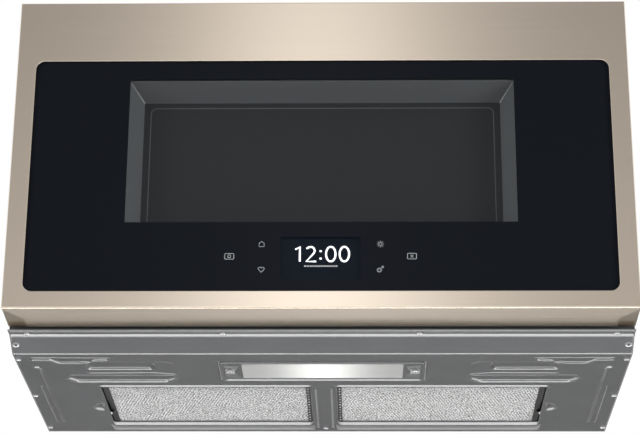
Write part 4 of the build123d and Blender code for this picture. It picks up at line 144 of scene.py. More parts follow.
# The front card is brightest in its middle and dims upwards.
CARD_Y = -5.2
CARD_HALF = 7.0
CARD_TOP = 7.0
CARD_SIDE = 0.46  # brightness away from the middle
CARD_MIDDLE = 1.0  # what the middle adds
CARD_SPREAD = 0.42  # half width of the bright middle
CARD_AT = -0.134  # where the bright middle is
CARD_FADE = (-0.26, 1.74)  # change with each metre of height, and the share at height 0
card_material, tree = empty_material("front_card")


def world_place(tree):
    """Place in the room, in metres, as three values."""
    geometry = node(tree, "NewGeometry")
    return node(tree, "SeparateXYZ", {0: geometry.outputs["Position"]}).outputs


def bell(tree, value, spread):
    """1 where the value is 0, falling off on both sides."""
    offset = math_node(tree, "DIVIDE", value, spread)
    square = math_node(tree, "MULTIPLY", offset, offset)
    return math_node(tree, "EXPONENT", math_node(tree, "MULTIPLY", square, -1.0))


x, _, z = world_place(tree)
offset = math_node(tree, "SUBTRACT", x, CARD_AT)
strength = math_node(tree, "MULTIPLY_ADD", bell(tree, offset, CARD_SPREAD), CARD_MIDDLE, CARD_SIDE)
fade = math_node(tree, "MULTIPLY_ADD", z, *CARD_FADE)


def only_reflected(tree, strength):
    """Light that metal, paint and glass reflect, and that nothing else sees."""
    glow = node(tree, "Emission", {"Color": (1, 1, 1, 1), "Strength": strength})
    clear = node(tree, "BsdfTransparent")
    rays = node(tree, "LightPath")
    both = node(tree, "MixShader", {0: rays.outputs["Is Glossy Ray"], 1: clear.outputs[0],
                                    2: glow.outputs[0]})
    node(tree, "OutputMaterial", {"Surface": both.outputs[0]})


only_reflected(tree, math_node(tree, "MULTIPLY", strength, fade))
rectangle("front_card", [(-CARD_HALF, CARD_Y, FLOOR_Z), (CARD_HALF, CARD_Y, FLOOR_Z),
                         (CARD_HALF, CARD_Y, CARD_TOP), (-CARD_HALF, CARD_Y, CARD_TOP)], card_material)

# The low strip and the back card lie flat above the floor, one behind the other.
LOW_CARDS_Z = FLOOR_Z + 0.12
STRIP_HALF = 1.6
STRIP = (0.45, 1.02)  # front and back, in metres behind the wall plane
STRIP_GLOW = 10.0
BACK_CARD_HALF = 1.8
BACK_CARD = (1.5, 2.4)
BACK_SPREAD = 0.42
BACK_GLOW = (1.0, 0.12)  # what the middle adds, and the brightness away from it
strip_material, tree = empty_material("low_strip")
only_reflected(tree, STRIP_GLOW)
level_sheet("low_strip", STRIP_HALF, *STRIP, LOW_CARDS_Z, strip_material)
back_material, tree = empty_material("back_card")
middle = bell(tree, world_place(tree)[0], BACK_SPREAD)
only_reflected(tree, math_node(tree, "MULTIPLY_ADD", middle, *BACK_GLOW))
level_sheet("back_card", BACK_CARD_HALF, *BACK_CARD, LOW_CARDS_Z, back_material)


def soft_lamp(name, at, aim, width, height, power):
    """Area lamp that lights the oven and isn't reflected in it."""
    lamp = bpy.data.lights.new(name, "AREA")
    lamp.shape = "RECTANGLE"
    lamp.size = width
    lamp.size_y = height
    lamp.energy = power
    made = bpy.data.objects.new(name, lamp)
    made.location = at
    made.rotation_euler = (Vector(aim) - Vector(at)).to_track_quat("-Z", "Y").to_euler()
    made.visible_glossy = False
    scene.collection.objects.link(made)


soft_lamp("key", at=(-1.6, -3.2, 2.6), aim=(0, -0.2, 0.2), width=2.2, height=1.6, power=48)
soft_lamp("low_front", at=(0.1, -3.0, -0.5), aim=(0, -0.3, 0.1), width=1.6, height=0.6, power=36)
soft_lamp("left_side", at=(-3.0, -2.2, 0.3), aim=(0, -0.3, 0.2), width=1.0, height=1.6, power=95)
soft_lamp("right_side", at=(3.0, -2.2, 0.3), aim=(0, -0.3, 0.2), width=1.0, height=1.6, power=145)
soft_lamp("rear_fill", at=(1.8, 2.4, 1.9), aim=(0, -0.2, 0.3), width=2.4, height=1.6, power=30)


# ======== side panels and front plate
# The two side panels are folded from steel sheet and powder-coated a satin grey, with a fine orange-peel
# skin and slight patches where the coat is thicker. The front plate behind the door is painted near black,
# a painted shade for the dark gap under the door.
GREY_PAINT = (0.103, 0.105, 0.108)


def effect_group(name, **inputs):
    """An empty shader node group and its inputs, which start at the given values."""
    tree = bpy.data.node_groups.new(name, "ShaderNodeTree")
    for label, value in inputs.items():
        kind = {3: "Vector", 4: "Color"}[len(value)] if isinstance(value, tuple) else "Float"
        socket = tree.interface.new_socket(name=label, in_out="INPUT", socket_type="NodeSocket" + kind)
        socket.default_value = value
    return tree, tree.nodes.new("NodeGroupInput").outputs


def results(tree, **values):
    """The group's outputs. Each has the name of the shader's input that it leads."""
    kinds = {"VALUE": "Float", "VECTOR": "Vector", "RGBA": "Color"}
    values = {label.replace("_", " "): value for label, value in values.items()}
    for label, value in values.items():
        tree.interface.new_socket(name=label, in_out="OUTPUT", socket_type="NodeSocket" + kinds[value.type])
    last = tree.nodes.new("NodeGroupOutput")
    for label, value in values.items():
        tree.links.new(value, last.inputs[label])


def blend_colours(tree, share, first, second):
    """The first colour where the share is 0, the second where it is 1."""
    return node(tree, "Mix", {0: share, 6: first, 7: second}, data_type="RGBA").outputs[2]


def noise(tree, vector, scale, detail=2.0, kind="Fac"):
    """Soft random values, or random colours, at so many per metre."""
    made = node(tree, "TexNoise", {"Vector": vector, "Scale": scale, "Detail": detail})
    return made.outputs[kind]


def object_place(tree):
    """Place on the piece, in metres."""
    return node(tree, "TexCoord").outputs["Object"]


# Coated or moulded surface: soft patches of a second colour, roughness that follows them, and a fine skin.
coated, given = effect_group("coated_surface", colour=(0, 0, 0, 1), second=(0, 0, 0, 1), patch=9.0,
                             grain=900.0, depth=0.1, roughness=0.4, spread=0.08)
here = object_place(coated)
patches = noise(coated, here, given["patch"], 3.0)
share = node(coated, "MapRange", {"Value": patches, "From Min": 0.35, "From Max": 0.7}).outputs[0]
unevenness = math_node(coated, "SUBTRACT", patches, 0.5)
grain = noise(coated, here, given["grain"], 2.0)
skin = node(coated, "Bump", {"Height": grain, "Strength": given["depth"], "Distance": 0.0002})
results(coated, Base_Color=blend_colours(coated, share, given["colour"], given["second"]),
        Roughness=math_node(coated, "MULTIPLY_ADD", unevenness, given["spread"], given["roughness"]),
        Normal=skin.outputs[0])


def finish(name, group, **values):
    """A material led by an effect group. A value that the group has no input for goes to the shader."""
    material, tree = empty_material(name)
    surface = node(tree, "BsdfPrincipled")
    effect = node(tree, "Group", node_tree=group)
    for label, value in values.items():
        own = label in effect.inputs
        socket = effect.inputs[label] if own else surface.inputs[label.replace("_", " ")]
        socket.default_value = (*value, 1) if socket.type == "RGBA" else value
    for socket in effect.outputs:
        tree.links.new(socket, surface.inputs[socket.name])
    node(tree, "OutputMaterial", {"Surface": surface.outputs[0]})
    return material


def coat(name, colour, second=0.9, **values):
    """Painted or moulded finish. Its patches have the second share of the colour."""
    return finish(name, coated, colour=colour, second=[part * second for part in colour], **values)


def dress(material, *names):
    """Give CAD nodes a material."""
    for name in names:
        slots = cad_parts[name].data.materials
        slots.clear()
        slots.append(material)


grey_paint = coat("grey_powder_coat", GREY_PAINT, roughness=0.2, grain=700.0, depth=0.06, spread=0.04)
dress(grey_paint, "right_side_panel", "left_side_panel")
# The front plate's near-black is painted shade for the gap under the door.
dress(coat("front_plate_painted_shade", (0.022, 0.022, 0.023), grain=700.0), "front_plate")

# ======== base pan
# The base pan is one sheet of the same painted steel: a flat underside with pressed fields, beads and
# dimples, two filter openings with rolled edges, and the lamp opening. In front it rises as a sloped chin
# to the lip below the door. Sizes from here on are in millimetres.


class Form:
    """Points and faces of one piece, in millimetres."""

    def __init__(self):
        self.points = []
        self.faces = []
        self.slots = []
        self.slot = 0

    def add(self, points):
        """Adds points and gives their numbers."""
        start = len(self.points)
        self.points.extend(points)
        return list(range(start, len(self.points)))

    def face(self, corners):
        """Adds a face in the material slot that is in use."""
        self.faces.append(tuple(corners))
        self.slots.append(self.slot)

    def strip(self, rings, closed=True):
        """Joins each ring of points to the next."""
        rings = [self.add(ring) for ring in rings]
        count = len(rings[0])
        for one, two in zip(rings, rings[1:]):
            for i in range(count if closed else count - 1):
                j = (i + 1) % count
                self.face((one[i], one[j], two[j], two[i]))
        return rings

    def fill(self, outlines, flip=False):
        """Flat face inside the first outline and outside the others."""
        found = self.add([point for outline in outlines for point in outline])
        for triangle in tessellate_polygon([[Vector(point) for point in outline] for outline in outlines]):
            corners = [found[i] for i in triangle]
            self.face(reversed(corners) if flip else corners)

    def block(self, x0, x1, y0, y1, z0, z1):
        """Plain box."""
        low = [(x0, y0, z0), (x1, y0, z0), (x1, y1, z0), (x0, y1, z0)]
        high = [(x, y, z1) for x, y, _ in low]
        rings = self.strip([low, high])
        self.face(reversed(rings[0]))
        self.face(rings[1])

    def piece(self, name, body, *materials, smooth=None, replaced=()):
        """The finished piece: it rides on the body and stands for the replaced CAD nodes."""
        mesh = bpy.data.meshes.new(name)
        mesh.from_pydata([Vector(point) * 0.001 for point in self.points], [], self.faces)
        for material in materials:
            mesh.materials.append(material)
        mesh.polygons.foreach_set("material_index", self.slots)
        mesh.validate()
        made = bpy.data.objects.new(name, mesh)
        scene.collection.objects.link(made)
        if smooth is not None:
            mesh.shade_smooth()
            mesh.set_sharp_from_angle(angle=math.radians(smooth))
        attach(made, body)
        if replaced:
            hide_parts(*replaced)
        return made


PAN_X = 379.0
PAN_BACK = -1.0
PAN_SHEET = 1.0
CHIN_FOLD = -325.0
LIP_FOLD = -350.0
LIP_FRONT = -370.0
CHIN_RISE = 15.0
FILTER_X = (17.0, 285.0)
FILTER_Y = (-199.0, -45.0)
LAMP_X = 129.0
LAMP_Y = (-295.9, -221.1)
# The rolled edge behind a filter opening: places, and how far it hangs below the sheet.
REAR_LIP = [(FILTER_Y[1], 0.0), (-43.6, 0.5), (-37.0, 2.7), (-34.5, 2.9), (-22.0, 1.9), (-8.0, 0.0)]
FRONT_LIP = -204.0  # where the edge in front of the opening starts
FRONT_LIP_DROP = 1.6
LIP_INNER = (-4.0, 2.0)  # where the edges start and are whole, from the opening's inner side
LIP_OUTER = (6.0, -2.0)  # the same from its outer side
SHOULDER = (0.5, 1.2, 2.0)  # height, place and half width of the raised line round a pressed field


def line_distance(x, y, start, end):
    """Distance from a point to a line between two points."""
    dx, dy = end[0] - start[0], end[1] - start[1]
    along = max(0.0, min(1.0, ((x - start[0]) * dx + (y - start[1]) * dy) / (dx * dx + dy * dy)))
    return math.hypot(x - start[0] - along * dx, y - start[1] - along * dy)


def inside_depth(x, y, outline):
    """How far a point is inside an outline, negative outside."""
    count = len(outline)
    nearest = min(line_distance(x, y, outline[i], outline[(i + 1) % count]) for i in range(count))
    crossings = 0
    for i in range(count):
        (ax, ay), (bx, by) = outline[i], outline[(i + 1) % count]
        if (ay > y) != (by > y) and x < (bx - ax) * (y - ay) / (by - ay) + ax:
            crossings += 1
    return nearest if crossings % 2 else -nearest


def ramp(value, low, high):
    """Smooth step from 0 at the first limit to 1 at the second."""
    share = max(0.0, min(1.0, (value - low) / (high - low)))
    return share * share * (3 - 2 * share)


# Pressed fields of the left half, which the right half mirrors: outline, depth and width of the slope.
BOAT = [(-324.3, -231), (-318, -242.7), (-188, -241.3), (-184.4, -229.7), (-197.8, -216.3), (-312.5, -216.4)]
PAD = [(-295.5, -280.1), (-288.9, -291), (-209.4, -290.9), (-207.4, -278.9), (-213.2, -264.4),
       (-293.5, -264.5)]
STEP = [(-357.5, -310.7), (-262, -309.3), (-264.7, -302.1), (-281.7, -299.2), (-289.7, -290.5),
        (-326.8, -290.5), (-336.5, -302.3), (-358.7, -302.3)]
FIELD = [(-301, -297), (-299, -255), (-294, -249), (-212.3, -250.5), (-180, -243), (-183, -288), (-192, -297)]
PRESSED = [(BOAT, 1.8, 5.5), (PAD, 1.7, 5.0), (STEP, 1.1, 3.4), (FIELD, 0.8, 4.5)]
PRESSED_END = (-170.0, -210.0)  # no pressed field comes nearer to the middle or the back
# Beads that stiffen the sheet: both ends, height and half width.
BEADS = [((-352, -268), (-352, -48), 1.7, 2.1), ((-360.5, -200), (-360.5, -45), 1.1, 1.6),
         ((-10, -191), (-10, -20), 1.3, 1.7)]
# The dimple that gives a finger room at a filter's pull, and the round one in each front corner.
DIMPLE = [(-307, -105), (-300.5, -97), (-290, -92.5), (-288, -126), (-297, -127)]
DIMPLE_AREA = (-280, -135, -85)  # inner, front and rear limit
DIMPLE_DEPTH = 2.4
DIMPLE_SLOPE = 5.0
CORNER_DIMPLE = (-355.8, -276.0)
CORNER_DIMPLE_R = 6.5
CORNER_DIMPLE_DEPTH = 1.6
CORNER_DIMPLE_SLOPE = 6.0


def pan_height(x, y):
    """Height of the underside at a place on the flat base."""
    x = -abs(x)
    z = 0.0
    if x < PRESSED_END[0] and y < PRESSED_END[1]:
        for outline, depth, slope in PRESSED:
            inside = inside_depth(x, y, outline)
            z += depth * ramp(inside, 0.0, slope)
            if outline is not FIELD:
                z -= SHOULDER[0] * ramp(SHOULDER[2] - abs(inside + SHOULDER[1]), 0.0, SHOULDER[2])
    for start, end, depth, half in BEADS:
        if abs(x - start[0]) < half:
            z -= depth * ramp(half - line_distance(x, y, start, end), 0.0, half)
    if x < DIMPLE_AREA[0] and DIMPLE_AREA[1] < y < DIMPLE_AREA[2]:
        z += DIMPLE_DEPTH * ramp(inside_depth(x, y, DIMPLE), 0.0, DIMPLE_SLOPE)
    from_corner = math.hypot(x - CORNER_DIMPLE[0], y - CORNER_DIMPLE[1])
    z += CORNER_DIMPLE_DEPTH * ramp(CORNER_DIMPLE_R - from_corner, 0.0, CORNER_DIMPLE_SLOPE)
    whole = (ramp(-x, FILTER_X[0] + LIP_INNER[0], FILTER_X[0] + LIP_INNER[1])
             * ramp(-x, FILTER_X[1] + LIP_OUTER[0], FILTER_X[1] + LIP_OUTER[1]))
    for (y0, drop0), (y1, drop1) in zip(REAR_LIP, REAR_LIP[1:]):
        if y0 <= y < y1:
            z -= whole * (drop0 + (drop1 - drop0) * (y - y0) / (y1 - y0))
    if FRONT_LIP < y < FILTER_Y[0] + 0.5:
        z -= FRONT_LIP_DROP * whole * min(1.0, (y - FRONT_LIP) / (FILTER_Y[0] - FRONT_LIP))
    return z


def spaced(start, *runs):
    """Values from the start through the end of every run, in steps no longer than the run's own."""
    values = [start]
    for end, step in runs:
        first = values[-1]
        count = max(1, math.ceil((end - first) / step))
        values += [first + (end - first) * (i + 1) / count for i in range(count)]
    return values


# Columns outwards from the middle and rows from the chin to the back, closest where the sheet bends. Each
# run has its end and its step.
half_x = spaced(0, (6, 3), (14, 0.8), (FILTER_X[0], 2), (LAMP_X, 4), (-PRESSED_END[0], 4), (FILTER_X[1], 1.6),
                (344, 1.6), (366, 0.7), (PAN_X, 3))
grid_x = [-x for x in reversed(half_x[1:])] + half_x
grid_y = spaced(CHIN_FOLD + 2, (LAMP_Y[0], 0.9), (LAMP_Y[1], 0.9), (FRONT_LIP, 0.9), (FILTER_Y[0], 1.3),
                (FILTER_Y[1], 2), *[(y, 1.8) for y, drop in REAR_LIP[1:]], (PAN_BACK, 2))


def in_opening(x, y):
    """Whether a place lies in one of the filter openings or in the lamp opening."""
    filters = FILTER_X[0] < abs(x) < FILTER_X[1] and FILTER_Y[0] < y < FILTER_Y[1]
    return filters or (abs(x) < LAMP_X and LAMP_Y[0] < y < LAMP_Y[1])


pan = Form()
# In front of the flat base: the rolled hem, the lip and its fold, the chin and its fold.
chin_rows = [(LIP_FRONT, CHIN_RISE + 1.2), (LIP_FRONT + 0.3, CHIN_RISE + 0.6), (LIP_FRONT + 1.8, CHIN_RISE),
             (LIP_FOLD - 7.0, CHIN_RISE), (LIP_FOLD - 6.2, CHIN_RISE - 0.15),
             (LIP_FOLD - 0.8, CHIN_RISE - 1.75), (LIP_FOLD + 0.6, CHIN_RISE - 2.35), (CHIN_FOLD - 2.6, 1.5),
             (CHIN_FOLD - 1.4, 0.9), (CHIN_FOLD + 0.6, 0.25)]
rows = [[(x, y, z) for x in grid_x] for y, z in chin_rows]
rows += [[(x, y, pan_height(x, y)) for x in grid_x] for y in grid_y]
found = [pan.add(row) for row in rows]
for one, two in zip(found, found[1:]):
    for a, b, c, d in zip(one, one[1:], two[1:], two):
        middle = [(pan.points[a][i] + pan.points[c][i]) / 2 for i in range(2)]
        if not in_opening(*middle):
            pan.face((a, d, c, b))
base_pan = pan.piece("base_pan_look", "cabinet", grey_paint, smooth=50, replaced=["base_pan"])
thick = base_pan.modifiers.new("sheet", "SOLIDIFY")
thick.thickness = 0.001 * PAN_SHEET
thick.offset = -1

# ======== filter rails
# Two rails of folded sheet stand on the pan along the front and the back of each filter opening. They reach
# over the filter's frame and keep it down on the pan while it slides.
FRAME_Y = (-203.5, -40.5)  # front and back of a filter's frame
RAIL_X = (22.0, 292.0)
RAIL_Z = (1.0, 10.4)
RAIL_SHEET = 1.0
RAIL_PLAY = 0.3
RAIL_FOOT = 8.0
RAIL_OVERLAP = 6.0
rails = Form()
for side in (-1, 1):
    x0, x1 = sorted((side * RAIL_X[0], side * RAIL_X[1]))
    for edge, out in zip(FRAME_Y, (-1, 1)):
        wall = edge + out * RAIL_PLAY
        for y, z0, z1 in ((wall + out * RAIL_SHEET, *RAIL_Z),
                          (edge - out * RAIL_OVERLAP, RAIL_Z[1] - RAIL_SHEET, RAIL_Z[1]),
                          (wall + out * RAIL_FOOT, RAIL_Z[0], RAIL_Z[0] + RAIL_SHEET)):
            rails.block(x0, x1, min(wall, y), max(wall, y), z0, z1)
rails.piece("filter_rails", "cabinet", grey_paint)

# ======== top and back panels
# The top and back panels and the plate over the duct outlet are plain galvanised sheet, cut and folded at
# the edges. The zinc's flat crystals show all over them.
ZINC = (0.50, 0.51, 0.52)


def toned(tree, value, given):
    """A value about its middle as a light or dark tone, and the colour with that tone."""
    tone = math_node(tree, "MULTIPLY", math_node(tree, "SUBTRACT", value, 0.5), given["contrast"])
    brightness = math_node(tree, "ADD", tone, 1.0)
    return tone, node(tree, "HueSaturation", {"Color": given["colour"], "Value": brightness}).outputs[0]


spangle, given = effect_group("zinc_spangle", colour=(0, 0, 0, 1), contrast=0.3, scale=110.0, roughness=0.36)
crystals = node(spangle, "TexVoronoi", {"Vector": object_place(spangle), "Scale": given["scale"],
                                        "Randomness": 1.0})
crystal = node(spangle, "SeparateColor", {0: crystals.outputs["Color"]}).outputs[0]
tone, colour = toned(spangle, crystal, given)
results(spangle, Base_Color=colour,
        Roughness=math_node(spangle, "MULTIPLY_ADD", tone, 0.4, given["roughness"]))


def zinc(name, colour=ZINC, **values):
    """Zinc-coated sheet."""
    return finish(name, spangle, colour=colour, Metallic=0.9, **values)


dress(zinc("galvanised_sheet"), "top_panel", "back_panel", "exhaust_cover")

# ======== hinge brackets and cord bushing
# The two hinge brackets are bent from thick steel sheet, each with a pin that the door turns on. Their
# dark brown is painted shade for the shaded bronze at the door's lower left corner, where a bracket shows.
# The bushing in the cord hole is moulded from black nylon and pressed in.
dress(coat("bracket_painted_shade", (0.105, 0.088, 0.066), second=0.85), "hinge_brackets")
dress(coat("black_nylon", (0.02, 0.02, 0.02), roughness=0.5), "cord_bushing")

# ======== screws
# Zinc-plated screws with domed heads and a cross recess hold the base, the lamp cover and the duct's plate.
# They are driven one by one, so every head stands a little different in its turn.

# Brushed, turned or plated metal: fine streaks along one direction.
brushed, given = effect_group("brushed_streaks", colour=(0, 0, 0, 1), contrast=0.12,
                              stretch=(500.0, 500.0, 500.0), roughness=0.3, depth=0.15)
stretched = node(brushed, "VectorMath", {0: object_place(brushed), 1: given["stretch"]},
                 operation="MULTIPLY")
streaks = noise(brushed, stretched.outputs[0], 1.0, 3.0)
tone, colour = toned(brushed, streaks, given)
bumps = node(brushed, "Bump", {"Height": streaks, "Strength": given["depth"], "Distance": 0.00005})
results(brushed, Base_Color=colour, Roughness=math_node(brushed, "ADD", tone, given["roughness"]),
        Normal=bumps.outputs[0])


def brush(name, colour, metallic=1.0, **values):
    """Bare metal. Its streaks are short along the directions with a large stretch."""
    return finish(name, brushed, colour=colour, Metallic=metallic, **values)


def mirrored(*places):
    """Places of the right half on both sides, the left ones first."""
    return [(side * x, y, z) for side in (-1, 1) for x, y, z in places]


screw_zinc = brush("zinc_screws", (0.40, 0.40, 0.41), contrast=0.2, roughness=0.36)
recess_painted_shade = coat("screw_recess_painted_shade", (0.05, 0.05, 0.05), roughness=0.6)
dress(screw_zinc, "door_screws", "latch_spring")
COVER_SCREW = (115.8, -258.5)  # place of the lamp cover's right screw
COVER_SINK = 1.3  # depth of the dimple that it stands in
UNDER_SCREWS = mirrored((374.0, -307.0, 0.0), (374.0, -162.0, 0.0), (374.0, -22.0, 0.0))
UNDER_SCREWS += mirrored((119.0, -361.0, CHIN_RISE), (357.0, -361.0, CHIN_RISE)) + [(0.0, -18.5, 0.0)]
UNDER_SCREWS += mirrored((*COVER_SCREW, COVER_SINK))
TOP_SCREWS = mirrored((132.0, -99.2, 437.0), (132.0, -32.8, 437.0))
CHIN_SCREWS = mirrored((373.0, -338.5, 8.5))
CHIN_FACING = (0, -0.5, -0.87)
HEAD_SIDES = 20
# The head's outline from its foot to its crown, as shares of its radius and its height.
DOME = [(1.0, 0.3), (0.9, 0.62), (0.72, 0.86), (0.45, 1.0)]
FOOT_SINK = 0.4
RECESS = (0.5, 0.12, 0.03)  # reach and half width as shares of the radius, and lift above the crown
turns = random.Random(4)


def screw_head(form, at, axis, radius=3.9, height=2.6):
    """Domed head that stands on a surface. A flat dark cross on its crown is painted shade for the recess."""
    axis = Vector(axis).normalized()
    across = axis.orthogonal().normalized()
    up = axis.cross(across)
    turn = turns.uniform(0, math.pi / 2)

    def point(r, angle, h):
        return Vector(at) + r * (math.cos(angle + turn) * across + math.sin(angle + turn) * up) + h * axis

    form.slot = 0
    profile = [(radius, -FOOT_SINK)] + [(wide * radius, high * height) for wide, high in DOME]
    rings = [[point(r, 2 * math.pi * i / HEAD_SIDES, h) for i in range(HEAD_SIDES)] for r, h in profile]
    form.face(form.strip(rings)[-1])
    # The recess is not cut: a flat dark cross just above the crown is its painted shade.
    form.slot = 1
    arm, half = RECESS[0] * radius, RECESS[1] * radius
    reach, lean = math.hypot(arm, half), math.atan2(half, arm)
    for angle in (0, math.pi / 2):
        corners = (-lean, lean, math.pi - lean, math.pi + lean)
        form.face(form.add([point(reach, angle + corner, height + RECESS[2]) for corner in corners]))


heads = Form()
for place in UNDER_SCREWS:
    screw_head(heads, place, (0, 0, -1))
for place in TOP_SCREWS:
    screw_head(heads, place, (0, 0, 1))
heads.piece("cabinet_screw_heads", "cabinet", screw_zinc, recess_painted_shade, smooth=40, replaced=["cabinet_screws"])
heads = Form()
for place in CHIN_SCREWS:
    screw_head(heads, place, CHIN_FACING, radius=4.6, height=2.2)
heads.piece("chin_screw_heads", "cabinet", screw_zinc, recess_painted_shade, smooth=40)

# ======== cooking cavity
# The cavity is welded from steel sheet and enamelled a light speckled grey. A mica sheet covers the inlet of
# the microwaves. The glass tray lies loose on a nylon coupler and on three nylon wheels in a ring.
enamel = coat("speckled_enamel", (0.40, 0.395, 0.38), second=0.62, roughness=0.3, grain=500.0, depth=0.05,
              patch=420.0, spread=0.05)
dress(enamel, "cavity_box")
dress(coat("mica_sheet", (0.42, 0.36, 0.27), second=0.75, roughness=0.5, grain=300.0,
           patch=60.0), "mica_cover")
dress(coat("oven_lamp_glass", (0.75, 0.74, 0.70), roughness=0.2), "cavity_lamp")
dress(brush("motor_can", (0.5, 0.5, 0.51), stretch=(200.0, 200.0, 200.0), contrast=0.2, roughness=0.32),
      "turntable_motor")
dress(coat("white_nylon", (0.72, 0.71, 0.66), second=0.94, roughness=0.42, grain=600.0),
      "drive_coupler", "roller_ring", "roller_wheel_1", "roller_wheel_2", "roller_wheel_3")
tray_glass = coat("tray_glass", (0.80, 0.88, 0.88), second=0.95, roughness=0.06, grain=60.0, depth=0.05,
                  Transmission_Weight=0.9, IOR=1.45)
dress(tray_glass, "glass_tray")

# ======== ventilation
# A two-ended blower in zinc-coated housings draws air through the grease filters. It leaves by the duct
# outlet or, through a charcoal pad, by the plastic grille over the door. The shelf, the waveguide and the
# fan's shroud are cut from the same sheet and screwed in.
dark_plastic = coat("black_moulded_plastic", (0.018, 0.018, 0.019), second=0.85, roughness=0.42,
                    grain=1200.0, depth=0.25)
dress(dark_plastic, "vent_grille", "thermal_cutouts", "microswitches")
dress(zinc("duct_sheet", (0.46, 0.47, 0.48), contrast=0.35, scale=80.0), "air_duct", "blower_housings",
      "component_shelf", "waveguide", "fan_shroud")
dress(coat("charcoal_pad", (0.012, 0.012, 0.012), second=0.4, roughness=0.9, grain=300.0, depth=1.0,
           patch=300.0), "charcoal_filter")
dress(brush("blower_motor_can", (0.35, 0.35, 0.36), stretch=(300.0, 20.0, 20.0), contrast=0.2,
            roughness=0.35), "blower_motor")
dress(coat("blower_wheel_plastic", (0.03, 0.03, 0.032), second=0.8, roughness=0.45), "blower_rotor")

# ======== grease filters
# Each grease filter is a folded aluminium edge around layers of expanded mesh: rows of twisted strands with
# diamond holes, whose glints and dark specks are painted light. It lies on the base pan over its opening,
# with a small pull at its outer end. A black sheet at that end and a black strip at its inner end are
# painted shade of the gaps beside the opening.
filter_metal = brush("filter_aluminium", (0.86, 0.86, 0.86), contrast=0.4, roughness=0.33)
# One black for the pull, and for the seam and end sheets that are painted shade of the gaps.
pull_and_shade_black = coat("black_pull_and_painted_shade", (0.012, 0.012, 0.012), roughness=0.5, Specular_IOR_Level=0.25)
LINE_LEAN = 0.31  # sideways run of the mesh's lines for each unit from front to back
LINE_DRIFT = (40.0, 0.0012)  # how close together the lines stray, and how far in metres
LEAN_ZONES = (26.0, 0.41, 0.49)  # how close the zones of one lean lie, and where they change over
SPECK_SCALE = 460.0
MESH_PAINTED_LIGHT = 0.55  # share of bright metal without lines and specks
# Painted light on expanded mesh: glints along lines that lean one way or the other in turn, among bright and
# dark specks, all painted into the base colour.
tree, given = effect_group("expanded_mesh_painted_light", dark=(0, 0, 0, 1), bright=(1, 1, 1, 1), pitch=0.004,
                           lines=0.7, specks=6.0)
here = object_place(tree)
drift = node(tree, "VectorMath", {0: noise(tree, here, LINE_DRIFT[0], 1.0, "Color"),
                                  "Scale": LINE_DRIFT[1]}, operation="SCALE")
moved = node(tree, "VectorMath", {0: here, 1: drift.outputs[0]}, operation="ADD")
x, y, _ = node(tree, "SeparateXYZ", {0: moved.outputs[0]}).outputs
lines = []
for lean in (LINE_LEAN, -LINE_LEAN):
    along = math_node(tree, "MULTIPLY_ADD", y, lean, x)
    periods = math_node(tree, "DIVIDE", along, given["pitch"])
    lines.append(math_node(tree, "SINE", math_node(tree, "MULTIPLY", periods, 2 * math.pi)))
zone = node(tree, "MapRange", {"Value": noise(tree, here, LEAN_ZONES[0], 0.0),
                               "From Min": LEAN_ZONES[1], "From Max": LEAN_ZONES[2]}).outputs[0]
line = node(tree, "Mix", {0: zone, 2: lines[0], 3: lines[1]}, data_type="FLOAT").outputs[0]
line = math_node(tree, "MULTIPLY", line, given["lines"])
specks = math_node(tree, "SUBTRACT", noise(tree, here, SPECK_SCALE, 2.0), 0.5)
specks = math_node(tree, "MULTIPLY_ADD", specks, given["specks"], MESH_PAINTED_LIGHT)
share = node(tree, "Clamp", {"Value": math_node(tree, "ADD", specks, line)}).outputs[0]
results(tree, Base_Color=blend_colours(tree, share, given["dark"], given["bright"]))
# Painted glints and specks for the filter's mesh.
mesh_painted_light = finish("expanded_mesh", tree, dark=(0.25, 0.25, 0.25), bright=(1.0, 1.0, 1.0), Metallic=0.05,
                    Roughness=0.45)
FRAME_X = (14.0, 277.0)
FRAME_Z = (1.2, 9.2)
FRAME_EDGE = 4.0
OUTER_EDGE = 0.6
STRAND_RIDGE = 0.5
STRAND_LIFT = 0.3
MESH_BODY = (3.8, 8.0)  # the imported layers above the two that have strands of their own
SEAM = (17.1, 22.6, -198.6, -45.4, 1.0, 1.4)
TOOTH_X = (19.4, 21.2)  # ends of the strands in the seam
TOOTH_Z = (0.95, 1.15)
TOOTH_START = -196.0
TOOTH_LENGTH = 3.2
TOOTH_PITCH = 11.0
TOOTH_COUNT = 14
PULL = (-1.2, 0.3, 15.0, 0.9)  # inner side and tip from the frame's end, half width and drop
END_X = (-0.8, 6.5)  # the black end, from the frame's end
END_INSET = 5.0
END_Z = 1.08
END_SHEET = 1.1
NARROW_Y = (-10.0, 35.0)  # beside the pan's dimple, from the filter's middle
NARROW_REACH = 2.5
NARROW_BACK_Z = 4.2  # height of the part that closes the gap over the dimple


def strand(form, path, width, height):
    """A thin strand with a ridge along its underside."""
    sides = []
    for i, (x, y, z) in enumerate(path):
        before, after = path[max(0, i - 1)], path[min(len(path) - 1, i + 1)]
        dx, dy = after[0] - before[0], after[1] - before[1]
        size = math.hypot(dx, dy)
        nx, ny = -dy / size * width / 2, dx / size * width / 2
        sides.append([(x + nx, y + ny, z + height), (x, y, z), (x - nx, y - ny, z + height)])
    form.strip(sides, closed=False)


def filter_layer(form, seed, pitch_x, pitch_y, z, width, wander):
    """One sheet of expanded metal: zigzag strands that meet their neighbours."""
    dice = random.Random(seed)
    x0, x1 = FRAME_X[0] + FRAME_EDGE, FRAME_X[1] - OUTER_EDGE
    y0, y1 = FRAME_Y[0] + FRAME_EDGE, FRAME_Y[1] - FRAME_EDGE
    for row in range(int((y1 - y0) / pitch_y)):
        path = []
        for column in range(int((x1 - x0) / pitch_x) + 1):
            swing = pitch_y * 0.5 * (1 if (column + row) % 2 else -1)
            path.append((x0 + pitch_x * column + dice.uniform(-wander, wander),
                         y0 + pitch_y * (row + 0.5) + swing + dice.uniform(-wander, wander),
                         z + dice.uniform(-STRAND_LIFT, STRAND_LIFT)))
        strand(form, path, width, STRAND_RIDGE)


